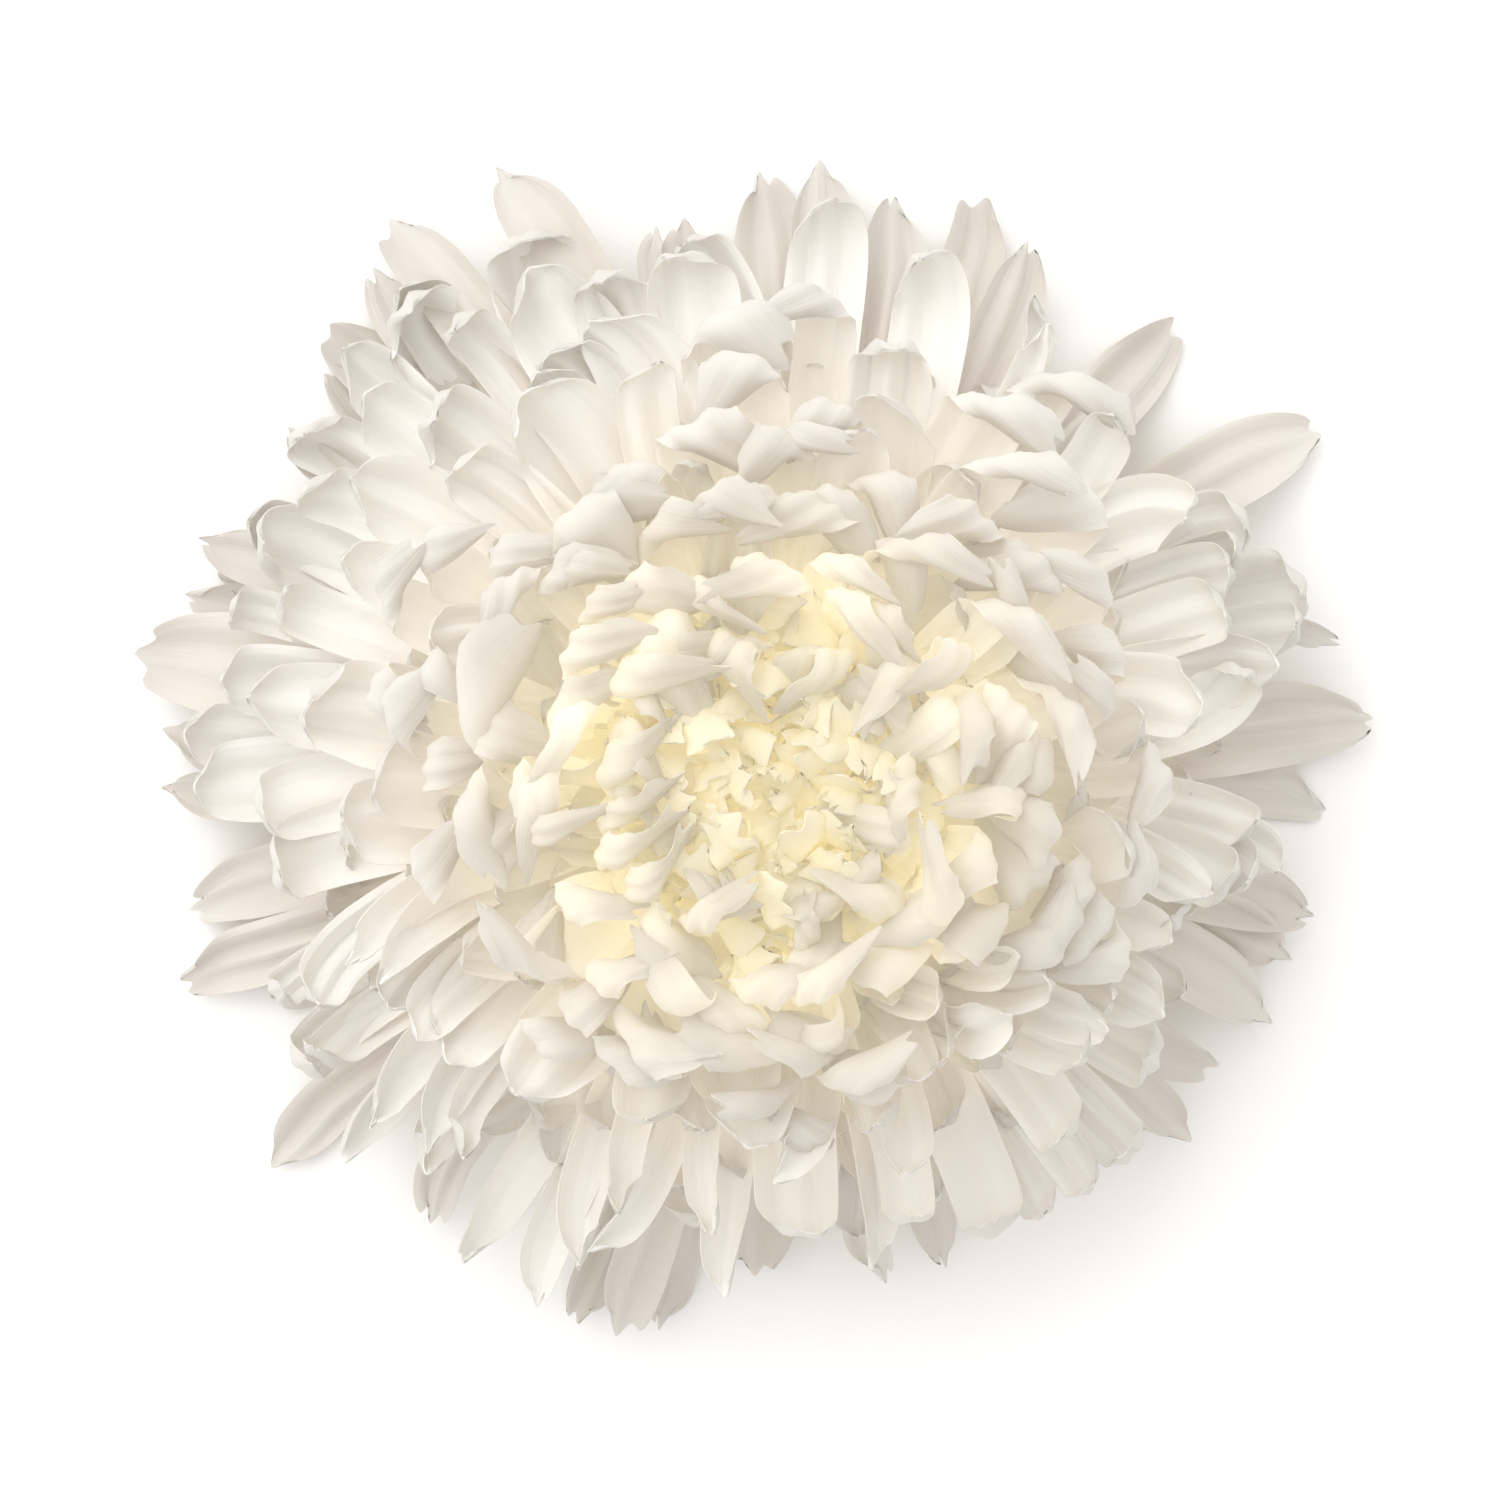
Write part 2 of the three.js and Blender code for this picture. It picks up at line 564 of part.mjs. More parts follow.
// The stations of a petal: it starts inside the core, and its shape needs more of them near its end
function stationsFor(points, { shares, sunk }) {
  let last = 0;
  points.forEach((point, i) => {
    if (inCore(point)) {
      last = i;
    }
  });
  const first = Math.max(last / (points.length - 1) - sunk, 0);
  return shares.map((share) => lerp(first, 1, share));
}

function rayPetals() {
  const core = toManifold(turned([
    [0, coreSocket[2][1]],
    coreSocket[1],
    coreSocket[0],
    [coreSocket[0][0], coreProfile[0][1]],
    ...coreProfile,
    [coreWell.radius, coreWell.floor],
    [0, coreWell.floor],
  ], roundSides.core));
  const blades = [core];
  let number = 0;
  for (const row of guardPetals) {
    number += 1;
    const lifted = endHeight.guard + endHeight.guardSpread * draw(number, 4);
    const height = number % endHeight.onSurfaceEvery === 0 ? endHeight.onSurface : lifted;
    const midrib = openMidrib(row, forms.guard, number, height);
    const stations = stationsFor(midrib.points, guardCuts);
    blades.push(toManifold(blade(midrib, stations, row[4], ribThickness, forms.guard, number)));
  }
  for (const row of [...outerPetals, ...middlePetals]) {
    number += 1;
    const form = forms[row[5]];
    const dome = along(domeOfTips, fromAxis(row[0], row[1]));
    const height = dome - endHeight.open + endHeight.spread * draw(number, 4);
    const midrib = openMidrib(row, form, number, height);
    const stations = stationsFor(midrib.points, openCuts);
    blades.push(toManifold(blade(midrib, stations, row[4], ribThickness, form, number)));
  }
  for (const row of incurvedPetals) {
    number += 1;
    const dome = along(domeOfTips, fromAxis(row[0], row[1]));
    const height = dome - endHeight.incurved + endHeight.spread * draw(number, 4);
    const midrib = incurvedMidrib(row, number, height);
    const stations = stationsFor(midrib.points, incurvedCuts);
    blades.push(toManifold(blade(midrib, stations, row[4], ribThickness, forms.incurved, number)));
  }
  const room = toManifold(turned([[0, heartRoom[0][1]], ...heartRoom, [0, heartRoomTop]], roundSides.room));
  const under = new THREE.BoxGeometry(floor.side, floor.side, floor.depth).translate(0, 0, -floor.depth / 2);
  const whole = wasm.Manifold.union(blades).subtract(room).subtract(toManifold(under));
  return toGeometry(largestBody(whole));
}

function heartFlorets() {
  const core = turned([[0, heartCore[0][1]], ...heartCore, [0, heartCoreTop]], roundSides.heartCore);
  const blades = [toManifold(core)];
  for (let i = 0; i < florets.count; i += 1) {
    const share = (i + 0.5) / florets.count;
    const reach = lerp(florets.innerReach, florets.outerReach, Math.sqrt(share));
    const azimuth = i * goldenAngle;
    const toward = new THREE.Vector3(Math.cos(azimuth), Math.sin(azimuth), 0);
    const axis = new THREE.Vector3(heart.x, heart.y, 0);
    const foot = axis.clone().addScaledVector(toward, reach * florets.footShare).setZ(florets.footHeight);
    const length = lerp(florets.shortest, florets.longest, 0.5 + 0.5 * draw(i, 5));
    const tip = axis.clone().addScaledVector(toward, reach);
    tip.setZ(florets.tipHeight + length - florets.tipSlope * reach);
    const middle = foot.clone().lerp(tip, florets.footShare).addScaledVector(toward, florets.outwardBow);
    const points = new THREE.QuadraticBezierCurve3(foot, middle, tip).getSpacedPoints(curveSteps.floret);
    const midrib = { points, firstOutward: toward, lastOutward: toward };
    const width = florets.width * (1 + florets.widthSpread * draw(i, 6));
    blades.push(toManifold(blade(midrib, floretCuts, width, florets.rib, forms.floret, i)));
  }
  for (const row of innermostPetals) {
    const [bendX, bendY, tipX, tipY, width] = row;
    const number = blades.length;
    const over = new THREE.Vector3(tipX - bendX, tipY - bendY, 0);
    const foot = new THREE.Vector3(bendX, bendY, florets.footHeight).addScaledVector(over, 0.5);
    const bend = new THREE.Vector3(bendX, bendY, innermost.bendHeight + innermost.spread * draw(number, 1));
    const high = bend.clone().addScaledVector(over, -0.4).setZ(bend.z + innermost.rise);
    const tip = bend.clone().add(over).setZ(bend.z + innermost.tipRise);
    const points = new THREE.CubicBezierCurve3(foot, bend, high, tip).getSpacedPoints(curveSteps.innermost);
    const outward = over.clone().negate().normalize();
    const midrib = { points, firstOutward: outward, lastOutward: outward };
    blades.push(toManifold(blade(midrib, innermostCuts, width, florets.rib, forms.incurved, number)));
  }
  // the same room, a clearance smaller all round
  const inner = heartRoom.map(([r, z], i) => [r - clearance, i === 0 ? z + clearance : z - clearance / 2]);
  const profile = [[0, inner[0][1]], ...inner, [0, heartRoomTop - clearance]];
  const room = toManifold(turned(profile, roundSides.room));
  return toGeometry(largestBody(wasm.Manifold.union(blades).intersect(room)));
}

function stem() {
  const geometry = turned([[0, stemProfile[0][1]], ...stemProfile, [0, stemTop]], roundSides.stem);
  const place = geometry.attributes.position;
  for (let i = 0; i < place.count; i += 1) {
    const x = place.getX(i) - heart.x;
    const y = place.getY(i) - heart.y;
    const fade = 1 - smoothstep(place.getZ(i), stemRidges.fadeFrom, stemRidges.upTo);
    const radius = Math.hypot(x, y);
    if (radius > stemRidges.innermost) {
      const ridge = stemRidges.depth * fade * Math.cos(stemRidges.count * Math.atan2(y, x));
      place.setXY(i, heart.x + x * (1 + ridge / radius), heart.y + y * (1 + ridge / radius));
    }
  }
  return toGeometry(toManifold(geometry));
}

function calyx() {
  const outside = calyxInside.map(([r, z]) => [r + calyxWall.outward, z - calyxWall.downward]);
  const inside = [...calyxInside].reverse();
  const cup = turned([...outside, ...inside, outside[0]], roundSides.calyx);
  const blades = [toManifold(cup)];
  let number = 0;
  for (const row of bracts.rows) {
    for (let i = 0; i < row.count; i += 1) {
      number += 1;
      const azimuth = (2 * Math.PI * (i + bracts.turn * number)) / row.count;
      const toward = new THREE.Vector3(Math.cos(azimuth), Math.sin(azimuth), 0);
      const foot = new THREE.Vector3(heart.x, heart.y, row.height).addScaledVector(toward, row.start);
      const rise = radians(row.rise);
      const points = [];
      for (let k = 0; k <= curveSteps.bract; k += 1) {
        const far = (row.length * k) / curveSteps.bract;
        const point = foot.clone().addScaledVector(toward, far * Math.cos(rise));
        points.push(point.addScaledVector(up, far * Math.sin(rise)));
      }
      const midrib = { points, firstOutward: toward, lastOutward: toward };
      blades.push(toManifold(blade(midrib, bractCuts, row.width, bracts.thickness, forms.bract, number)));
    }
  }
  return toGeometry(largestBody(wasm.Manifold.union(blades)));
}

// Materials

const petalWhite = new THREE.MeshStandardMaterial({ color: 0xf3efe4, roughness: 0.6, metalness: 0 });
const heartCream = new THREE.MeshStandardMaterial({ color: 0xf6ebc4, roughness: 0.6, metalness: 0 });
const bractGreen = new THREE.MeshStandardMaterial({ color: 0x7d9358, roughness: 0.65, metalness: 0 });
const stemGreen = new THREE.MeshStandardMaterial({ color: 0x6d8a4b, roughness: 0.6, metalness: 0 });

// The bloom

const group = new THREE.Group();

function addPiece(name, geometry, material) {
  const mesh = new THREE.Mesh(geometry, material);
  mesh.name = name;
  group.add(mesh);
}

addPiece('stem', stem(), stemGreen);
addPiece('calyx', calyx(), bractGreen);
addPiece('ray_petals', rayPetals(), petalWhite);
addPiece('heart_florets', heartFlorets(), heartCream);

export default group;
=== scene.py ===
# Disbud chrysanthemum: a large white bloom seen from above, cut with a stub of its stem
from math import acos, atan2, copysign, cos, hypot, pi, radians, sin, sqrt, tan

import bpy
import numpy as np
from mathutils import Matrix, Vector


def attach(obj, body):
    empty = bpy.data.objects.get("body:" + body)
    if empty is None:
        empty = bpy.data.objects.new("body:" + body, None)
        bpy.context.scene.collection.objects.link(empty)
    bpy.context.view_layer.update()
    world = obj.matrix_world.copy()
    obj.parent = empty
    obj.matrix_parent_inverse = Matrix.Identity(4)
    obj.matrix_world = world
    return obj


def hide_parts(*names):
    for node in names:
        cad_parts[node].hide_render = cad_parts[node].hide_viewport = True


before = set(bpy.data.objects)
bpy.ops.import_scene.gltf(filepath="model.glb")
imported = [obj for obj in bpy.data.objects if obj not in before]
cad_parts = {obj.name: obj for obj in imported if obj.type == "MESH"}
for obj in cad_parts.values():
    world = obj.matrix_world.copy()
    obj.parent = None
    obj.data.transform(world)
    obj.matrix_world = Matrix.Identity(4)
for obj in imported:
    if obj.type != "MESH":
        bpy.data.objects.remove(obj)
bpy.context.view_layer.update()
print("frame loaded:", sorted(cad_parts))

mm = 0.001  # petals are worked out in millimetres and put down in metres
heartX, heartY = 1.6, -4.7  # the bloom's axis, a little off the middle of its spread
axis = np.array([heartX, heartY, 0.0])
up = np.array([0.0, 0.0, 1.0])

# distance from the bloom's axis and height of the petal ends
domeReach = [0, 12, 22, 32, 42, 52, 62, 72, 90]
domeHeight = [55, 60, 62, 59, 51, 41, 28, 15, 6]


# what a petal's draws are for, in the order that they are numbered in
purposes = (
    "rise", "fold", "roll", "height", "place", "tip", "endWidth", "tipPower", "cup", "lopsided", "ridges",
    "ridgeShift", "waves", "waveShift", "sway", "teeth", "teethShift", "stand", "flap", "tone", "width",
    "slant", "ridgeSway", "groove", "aside", "point", "moreSlant", "stray",
)
scatter = {"number": 12.9898, "purpose": 78.233, "steepness": 43758.5453}


def draw(number, purpose):
    # a repeatable draw between -1 and 1, from the fraction of a steep wave
    angle = number * scatter["number"] + (purposes.index(purpose) + 1) * scatter["purpose"]
    return 2 * (sin(angle) * scatter["steepness"] % 1) - 1


def varied(pair, number, purpose):
    # a value, and how far a draw moves it up or down
    value, spread = pair
    return value + spread * draw(number, purpose)


def ease(low, high, value):
    # from 0 to 1 between low and high, with soft ends
    share = np.clip((value - low) / (high - low), 0, 1)
    return share * share * (3 - 2 * share)


def mix(a, b, share):
    return a + (b - a) * share


def fromAxis(x, y):
    return hypot(x - heartX, y - heartY)


def domeAt(reach):
    return float(np.interp(reach, domeReach, domeHeight))


# The petals, read off the photograph. An open petal's row holds where its tip and then its body
# lie in plan, its width, and its form where that isn't its layer's. A curled one's row holds its bend, its
# tip and its width.
guardPetals = [
    (-31, 69.5, -21, 57, 8), (-44.3, 63, -34, 52, 7.5), (-47, 56.8, -40, 46, 6),
    (-52.3, 49.6, -40, 42, 7.5), (-52.3, 45, -42, 37, 6), (-57, 37, -47, 30, 4), (-67, 24.4, -55, 21, 6),
    (-65, 20.5, -54, 17, 5.5), (-74.5, 12, -62, 10, 11.5), (-68.5, 18.5, -58, 15, 5.5),
    (-71, 1, -61, -2, 5), (-71.3, -6, -61, -6, 5.5), (-68.3, -18.8, -57, -15.5, 7.5),
    (-69.3, -27, -58, -24.5, 7), (-58, -31, -49, -25, 5.5), (-57, -51, -51, -41, 6.5),
    (-40, -57, -37, -47, 5.5), (-21.5, -69, -17, -57, 5.5), (-17, -70.5, -13, -59, 6.5),
    (-11, -70, -9, -59, 4.5), (1, -63.5, 0, -53, 9), (14.5, -64.5, 12, -54, 5), (22.5, -62.5, 20, -51, 5),
    (52, -47.5, 44, -39, 5.5), (48, -46, 40, -38, 6), (55, -39.2, 44, -35, 6), (62, -33, 52, -26, 8),
    (64.3, -25, 54, -20, 7), (67, -19.6, 54, -17, 8), (68.8, -6.5, 56, -4, 6.5), (74.2, 3.5, 61, 3, 9.5),
    (69.8, 12.2, 62, 16, 3), (68, 38, 54, 33, 9), (45.3, 41, 37, 34, 6), (51, 50.5, 41, 41, 8),
    (33.5, 60, 29, 47, 7), (28.3, 65.5, 24.5, 53, 7), (17, 66, 16, 53, 8), (8, 70.3, 8.5, 58, 7),
    (0.5, 68.8, 3, 56, 8.5), (-9, 63.3, -8, 53, 6.5), (-13.3, 62, -12, 52, 3),
]
outerPetals = [
    (-61.3, 27.8, -49, 25, 7), (-42.5, 56, -33, 45, 9), (-43.5, 53.3, -33, 41, 13),
    (-50, 47.5, -40, 40, 8.5), (-55.3, 38.3, -44, 34, 8), (-54.5, 31, -44, 28.5, 7),
    (-60.5, 24.5, -48, 22, 11), (-63.5, 17, -54, 14.5, 5), (-64.5, 7.5, -53, 9, 8.5), (-69, 2, -59, 1, 8),
    (-61.5, 4.5, -50, 3.5, 10.5), (-67.8, -5, -56, -4, 9.5), (-60, -8.5, -50, -5, 9),
    (-58.5, -15, -48, -11, 9.5), (-57.7, 17.5, -49, 12.5, 7), (-28, 57, -22, 46, 12.5),
    (-28, 62, -23, 51, 11.5), (-18, 57.5, -15, 47, 9.5), (-8, 59.5, -6, 49, 11), (-8.5, 61, 0.5, 51, 7.5),
    (8.5, 66, 10, 54, 9), (19.5, 59.3, 22.5, 48, 9), (33.5, 54, 35, 44, 5, "strap"),
    (34, 50.5, 32, 41, 5, "strap"), (43, 39.7, 39, 31, 6.5), (59.5, 27, 49, 27, 9), (58.5, 24, 47, 21, 6),
    (57.5, 21, 45, 18.5, 7.5), (56.5, 17, 44, 14, 8), (66, 19.5, 55, 18, 9.5), (65.5, 14, 54, 13.5, 7.5),
    (62.5, 9, 51, 10, 9), (58.6, 9.5, 53, -0.5, 8), (59.8, -10, 48, -6, 6), (63.5, -14.5, 54, -7, 6.5),
    (60, -16, 49, -9.5, 7), (57.5, -16.8, 46, -9.5, 7.5), (53.5, -18.8, 43, -11, 6.5),
    (51, -21.3, 41, -14, 7), (49.7, -23.5, 40, -18, 6), (49, -32, 38, -26, 8.5), (48.5, -38, 38, -32, 8.5),
    (45.8, -49.3, 37, -39, 7), (40.5, -53.5, 33, -42, 6), (35, -56.5, 28, -43, 5.5), (29, -59, 24, -45, 8),
    (14.3, -62.5, 14, -50, 6, "strap"), (18.5, -57.5, 18, -46, 6), (5, -59, 4, -47, 9.5),
    (-4.5, -66, -4, -51, 6.5, "strap"), (-5, -58.5, -8.5, -47, 5, "strap"),
    (-20, -60.5, -11, -54, 5, "strap"), (-20.5, -62.7, -20.5, -49, 7, "strap"),
    (-26.7, -67, -24, -53, 6.5, "strap"), (-34.7, -62.5, -29.5, -49, 7, "strap"),
    (-16.7, -56, -17.5, -44, 5.5, "strap"), (-40.7, -51, -38, -41, 7, "strap"),
    (-50.5, -49.5, -45.5, -38, 7, "strap"), (-46, -45.7, -42, -35, 7.5, "strap"),
    (-39.5, -48.3, -38, -37, 6.5, "strap"), (-35.5, -49.3, -32.5, -39, 6.5, "strap"),
    (-55.3, -39, -48, -30, 6.5), (-52.5, -38.3, -44, -28, 6.5), (-53.3, -31, -47, -19.5, 7),
    (-58.3, -30.3, -50, -22, 5),
]
middlePetals = [
    (-47.8, 41, -37, 36, 9), (-39.7, 40.2, -30, 34.5, 10.5), (-49, 31.5, -37, 28, 10),
    (-49.8, 21, -39, 21, 7.5), (-36.8, 51.3, -26, 44.5, 6.5), (-36.4, 33.8, -27, 30, 8),
    (-27.8, 42.5, -18, 32, 14), (-25.5, 47, -16, 40, 10), (-27.2, 44, -18, 36, 8),
    (-18.8, 52, -9.5, 43, 10.5), (-13.2, 45.6, -13.5, 34, 6.5), (16.5, 48.8, 16, 37, 9.5),
    (16.5, 41.5, 15, 31, 9), (12, 38, 11.5, 28, 8), (52.5, 27, 41, 29, 9), (53.2, 3.7, 43, 7, 9),
    (-54.3, 5, -43, 4, 12), (-50, -9.5, -39, -7.5, 9.5), (-46, -4, -35, -2.5, 10),
    (-39, 12.3, -27, 16.5, 7), (-45, -27.6, -36, -18, 6.5, "strap"), (-48.7, -26, -40, -17, 5.5, "strap"),
    (-44, -31.5, -34, -22, 7.5), (-41.3, -34.7, -32, -25, 7), (-37.5, -37.5, -28, -26, 9.5),
    (-27.5, -42.5, -22, -31, 11), (-13.5, -45.3, -13, -34, 8.5), (-1, -48, -1, -37, 10),
    (-1.5, -44, -3, -33, 10.5), (1.8, -51.5, 10, -45, 5, "strap"), (18.3, -51.4, 19, -41, 6),
    (15.5, -45.5, 12.5, -37, 6), (19, -40.3, 15, -31, 9), (23.2, -36.8, 15, -30, 8),
    (22, -30.5, 11, -28.5, 6), (31.3, -26.2, 20, -27, 5), (34.8, -27, 24, -29.5, 7.5),
    (43, -30.5, 31, -28, 7), (42, -33, 31, -30.5, 6), (39.5, -37, 26.5, -34.5, 7),
    (37.5, -47.3, 30.5, -37, 7), (29.5, -31, 23.5, -36, 6.5), (46.5, 2.5, 38, 0, 7),
    (44.5, -10.7, 34, -14, 8.5),
]
curledPetals = [
    (-4, 53.6, -4.5, 49.3, 11.5), (8.3, 55, 8, 51, 8), (0, 47.9, -0.5, 43.2, 12), (-6.5, 40.8, -7, 36, 11),
    (3, 38.6, 4, 34.5, 6.5), (10.5, 42, 12, 38, 8), (-14, 35.2, -14.5, 29.5, 7), (-4.8, 31.6, -5, 26.5, 8),
    (-22.5, 30, -22.5, 25, 12), (3.5, 30.8, 0, 25, 5), (9.5, 30, 10.5, 22.8, 7.5), (17.5, 26.3, 17, 20, 7),
    (26.5, 29.5, 26.5, 23.5, 7.5), (28.8, 36, 30.5, 31, 8), (29.5, 43.4, 30, 39, 10.5),
    (36.5, 46.4, 36.5, 41, 9), (40.5, 31.5, 38.5, 23, 7.5), (35, 23.5, 34.8, 16, 8.5),
    (42.8, 20.8, 40, 15.5, 6), (28.5, 18.5, 28.5, 10, 7), (22.5, 14.5, 26, 8, 7), (45, 12, 41, 9.5, 6),
    (38.7, 5, 33, 3.5, 8), (43.5, 5, 40.5, 3.5, 4.5), (31.5, 7.5, 27.3, 3, 7), (37, -3, 32, 1, 8),
    (33, -8.5, 28, -4.5, 5), (49.6, -1, 45, -4, 7), (36.8, -12, 31, -14, 8), (46.8, -18.5, 43, -16.5, 6),
    (45.5, -25.7, 40, -22, 6.5), (38.6, -23.3, 32, -22.5, 6.5), (30, -24.3, 27, -19.5, 7),
    (30, -12.5, 23.2, -13.5, 6), (25.5, -20.5, 17, -15.5, 8), (20, -28.5, 18.5, -21, 8),
    (12.7, -33.7, 12, -39, 5), (6.3, -39.5, 9.5, -33.5, 6), (-0.5, -39.3, 2, -32.5, 9),
    (10.7, -42.3, 12, -35, 7), (6.3, -32.5, 8.5, -23.5, 7), (-1, -32.5, 0, -26, 6.5),
    (-6, -33.6, -10, -24.5, 6), (-16, -36.2, -13, -30, 10), (-23, -34.3, -21, -28, 6),
    (-10.8, -41.3, -9.5, -37, 5), (-25.5, -28.5, -24, -20, 9), (-34.3, -14.5, -28, -14.5, 8),
    (-36.4, -6, -30.5, -6.5, 8.5), (-45.2, 3, -40, 2.5, 8), (-37, 3.5, -29, 5, 13),
    (-47.5, 7.5, -44, 9.5, 6), (-45.3, 17.5, -40.5, 16.5, 7.5), (-41, 10, -37.5, 9, 6),
    (-40.4, 24.5, -36.8, 20.3, 7.5), (-28.8, 22, -26, 17.5, 7), (-23.7, 22.5, -21.5, 19.5, 5),
    (-23.5, 13, -19.5, 7.5, 6), (-21.5, 17.5, -19.5, 14.5, 4.5), (-15.7, 15.3, -5, 18.5, 9.5),
    (-17.5, 11, -10.5, 4.5, 7), (-2, 15, -5, 8.8, 9), (9.5, 13.5, 8, 5, 6.5), (21.5, 9.5, 14, 7, 8),
    (20.5, 3, 15.5, 1, 5), (20, -9.5, 11, -14, 7), (21, -3, 15.5, -5.5, 6), (8, -23, 0, -17, 8),
    (-7, -24, -6.5, -17.5, 6), (-17.5, -16.5, -9, -17, 6.5), (-18.5, 1, -13, -1.5, 6),
    (-19.5, -6, -14, -9, 6), (6, 22.5, 2, 16.5, 6.5), (3, 24, -3.5, 21.5, 7), (11, 20.5, 12, 11, 6),
    (15, 19, 15.5, 15, 5), (25, 7, 24.5, -8, 5.5), (-22.5, 7, -20, -8, 5.5), (-27, -1, -21.5, -9.5, 5),
    (-29, -8, -24, -14, 4.5), (-20, -10.5, -13, -16, 6),
]

# How each kind of petal is shaped: slopes and turns in degrees, lengths in millimetres, and the cup as half
# the angle that its section spans at the root, the middle and the tip, in radians. A pair is a value and how
# far a draw may move it. The end is rolled over by "fold" on a line that crosses the petal aslant, and "flap"
# is what lies past the roll. "vee" lifts both halves, "groove" and "ruffle" are how deep the furrows and the
# waves of the edges are, and "aside" is how far the tip may lie to one side.
incurvedForm = {"vee": 0, "tipPower": 2.3, "tipEdge": 0.55, "sway": 0.12}
petalForms = {
    "guard": {
        "rise": (-2, 6), "rootRise": 2, "fold": (18, 22), "foldRadius": 9, "flap": 2, "slant": 20,
        "cup": (0.9, 0.35, 0.5), "vee": 0.1, "tipShare": 1.15, "tipPower": 1.9, "tipEdge": 0.6,
        "endWidth": 0.36, "groove": 0.8, "ruffle": 0.9, "teeth": 0.8, "point": 0.5, "aside": 1.3,
        "sway": 0.16, "roll": 12,
    },
    "spoon": {
        "rise": (29, 6), "rootRise": 10, "fold": (66, 36), "foldRadius": 3.4, "flap": 1.2, "slant": 18,
        "cup": (0.9, 0.62, 0.85), "vee": 0.05, "tipShare": 0.95, "tipPower": 2, "tipEdge": 0.55,
        "endWidth": 0.24, "groove": 0.8, "ruffle": 0.5, "teeth": 0.25, "point": 0.4, "aside": 1.5,
        "sway": 0.16, "roll": 9,
    },
    "strap": {
        "rise": (12, 6), "rootRise": 4, "fold": (36, 40), "foldRadius": 3.4, "flap": 1.4, "slant": 20,
        "cup": (0.9, 0.85, 1.5), "vee": 0.6, "tipShare": 1.2, "tipPower": 2, "tipEdge": 0.55,
        "endWidth": 0.34, "groove": 0.3, "ruffle": 0.35, "teeth": 0.8, "point": 0.3, "aside": 0.9,
        "sway": 0.2, "roll": 16,
    },
    "curled": {
        **incurvedForm, "foldRadius": 2.7, "cup": (0.8, 0.65, 1.1), "tipPower": 2.2, "tipEdge": 0.6,
        "endWidth": 0.4, "groove": 0.3, "ruffle": 1, "teeth": 0.9, "point": 0.8, "aside": 1.8, "roll": 10,
    },
    "inner": {
        **incurvedForm, "foldRadius": 2.2, "cup": (0.8, 0.6, 0.8),
        "endWidth": 0.5, "groove": 0.32, "ruffle": 1.1, "teeth": 1, "point": 0.9, "aside": 1.4, "roll": 12,
    },
    "cap": {
        **incurvedForm, "foldRadius": 3.2, "cup": (0.8, 0.7, 0.75), "sway": 0.06,
        "endWidth": 0.3, "groove": 0.2, "ruffle": 0.4, "teeth": 0.6, "point": 0.8, "aside": 0.8, "roll": 5,
    },
    "floret": {
        **incurvedForm, "foldRadius": 1.5, "cup": (0.9, 0.5, 0.5), "tipPower": 2.2, "tipEdge": 0.6,
        "endWidth": 0.5, "groove": 0.25, "ruffle": 0.7, "teeth": 1, "point": 0.6, "aside": 0.9, "roll": 20,
    },
}


def spaced(points, count):
    # the same line through points an even step apart
    steps = np.linalg.norm(np.diff(points, axis=0), axis=1)
    place = np.concatenate([[0], np.cumsum(steps)])
    at = np.linspace(0, place[-1], count)
    return np.stack([np.interp(at, place, points[:, k]) for k in range(3)], axis=1)


def bezier(a, b, c, d, count=60):
    t = np.linspace(0, 1, count)[:, None]
    return (1 - t) ** 3 * a + 3 * (1 - t) ** 2 * t * b + 3 * (1 - t) * t * t * c + t ** 3 * d


def unit(vector):
    return vector / np.linalg.norm(vector)


def toward(azimuth):
    return np.array([cos(azimuth), sin(azimuth), 0.0])


def sloping(direction, slope):
    return direction * cos(slope) + up * sin(slope)


# where the petals grow from the end of the stem: a pair is for those that reach least and most
roots = {"radius": (3, 11), "height": (31, 25.5), "longestReach": 70}


def rootOf(reach, x, y):
    spread = min(reach / roots["longestReach"], 1)
    foot = axis + up * mix(*roots["height"], spread)
    return foot + toward(atan2(y - heartY, x - heartX)) * mix(*roots["radius"], spread)


def foldedPath(body, firstOutward, outward, fold):
    # the middle line as far as the flat end, and how that end is rolled over
    flat = fold["before"] + fold["radius"] * fold["angle"] + fold["flap"]
    return {"points": spaced(body, count=90), "first": firstOutward, "last": outward, "flat": flat, **fold}


# how an open petal leaves the head: the less it reaches, the more steeply it starts
opening = {"leastFold": 6, "clear": 0.3, "shortestRun": 3, "startShare": 0.4,
           "steepRoot": 34, "steepWithin": 60, "steepBlend": 35, "turnSteps": 12}


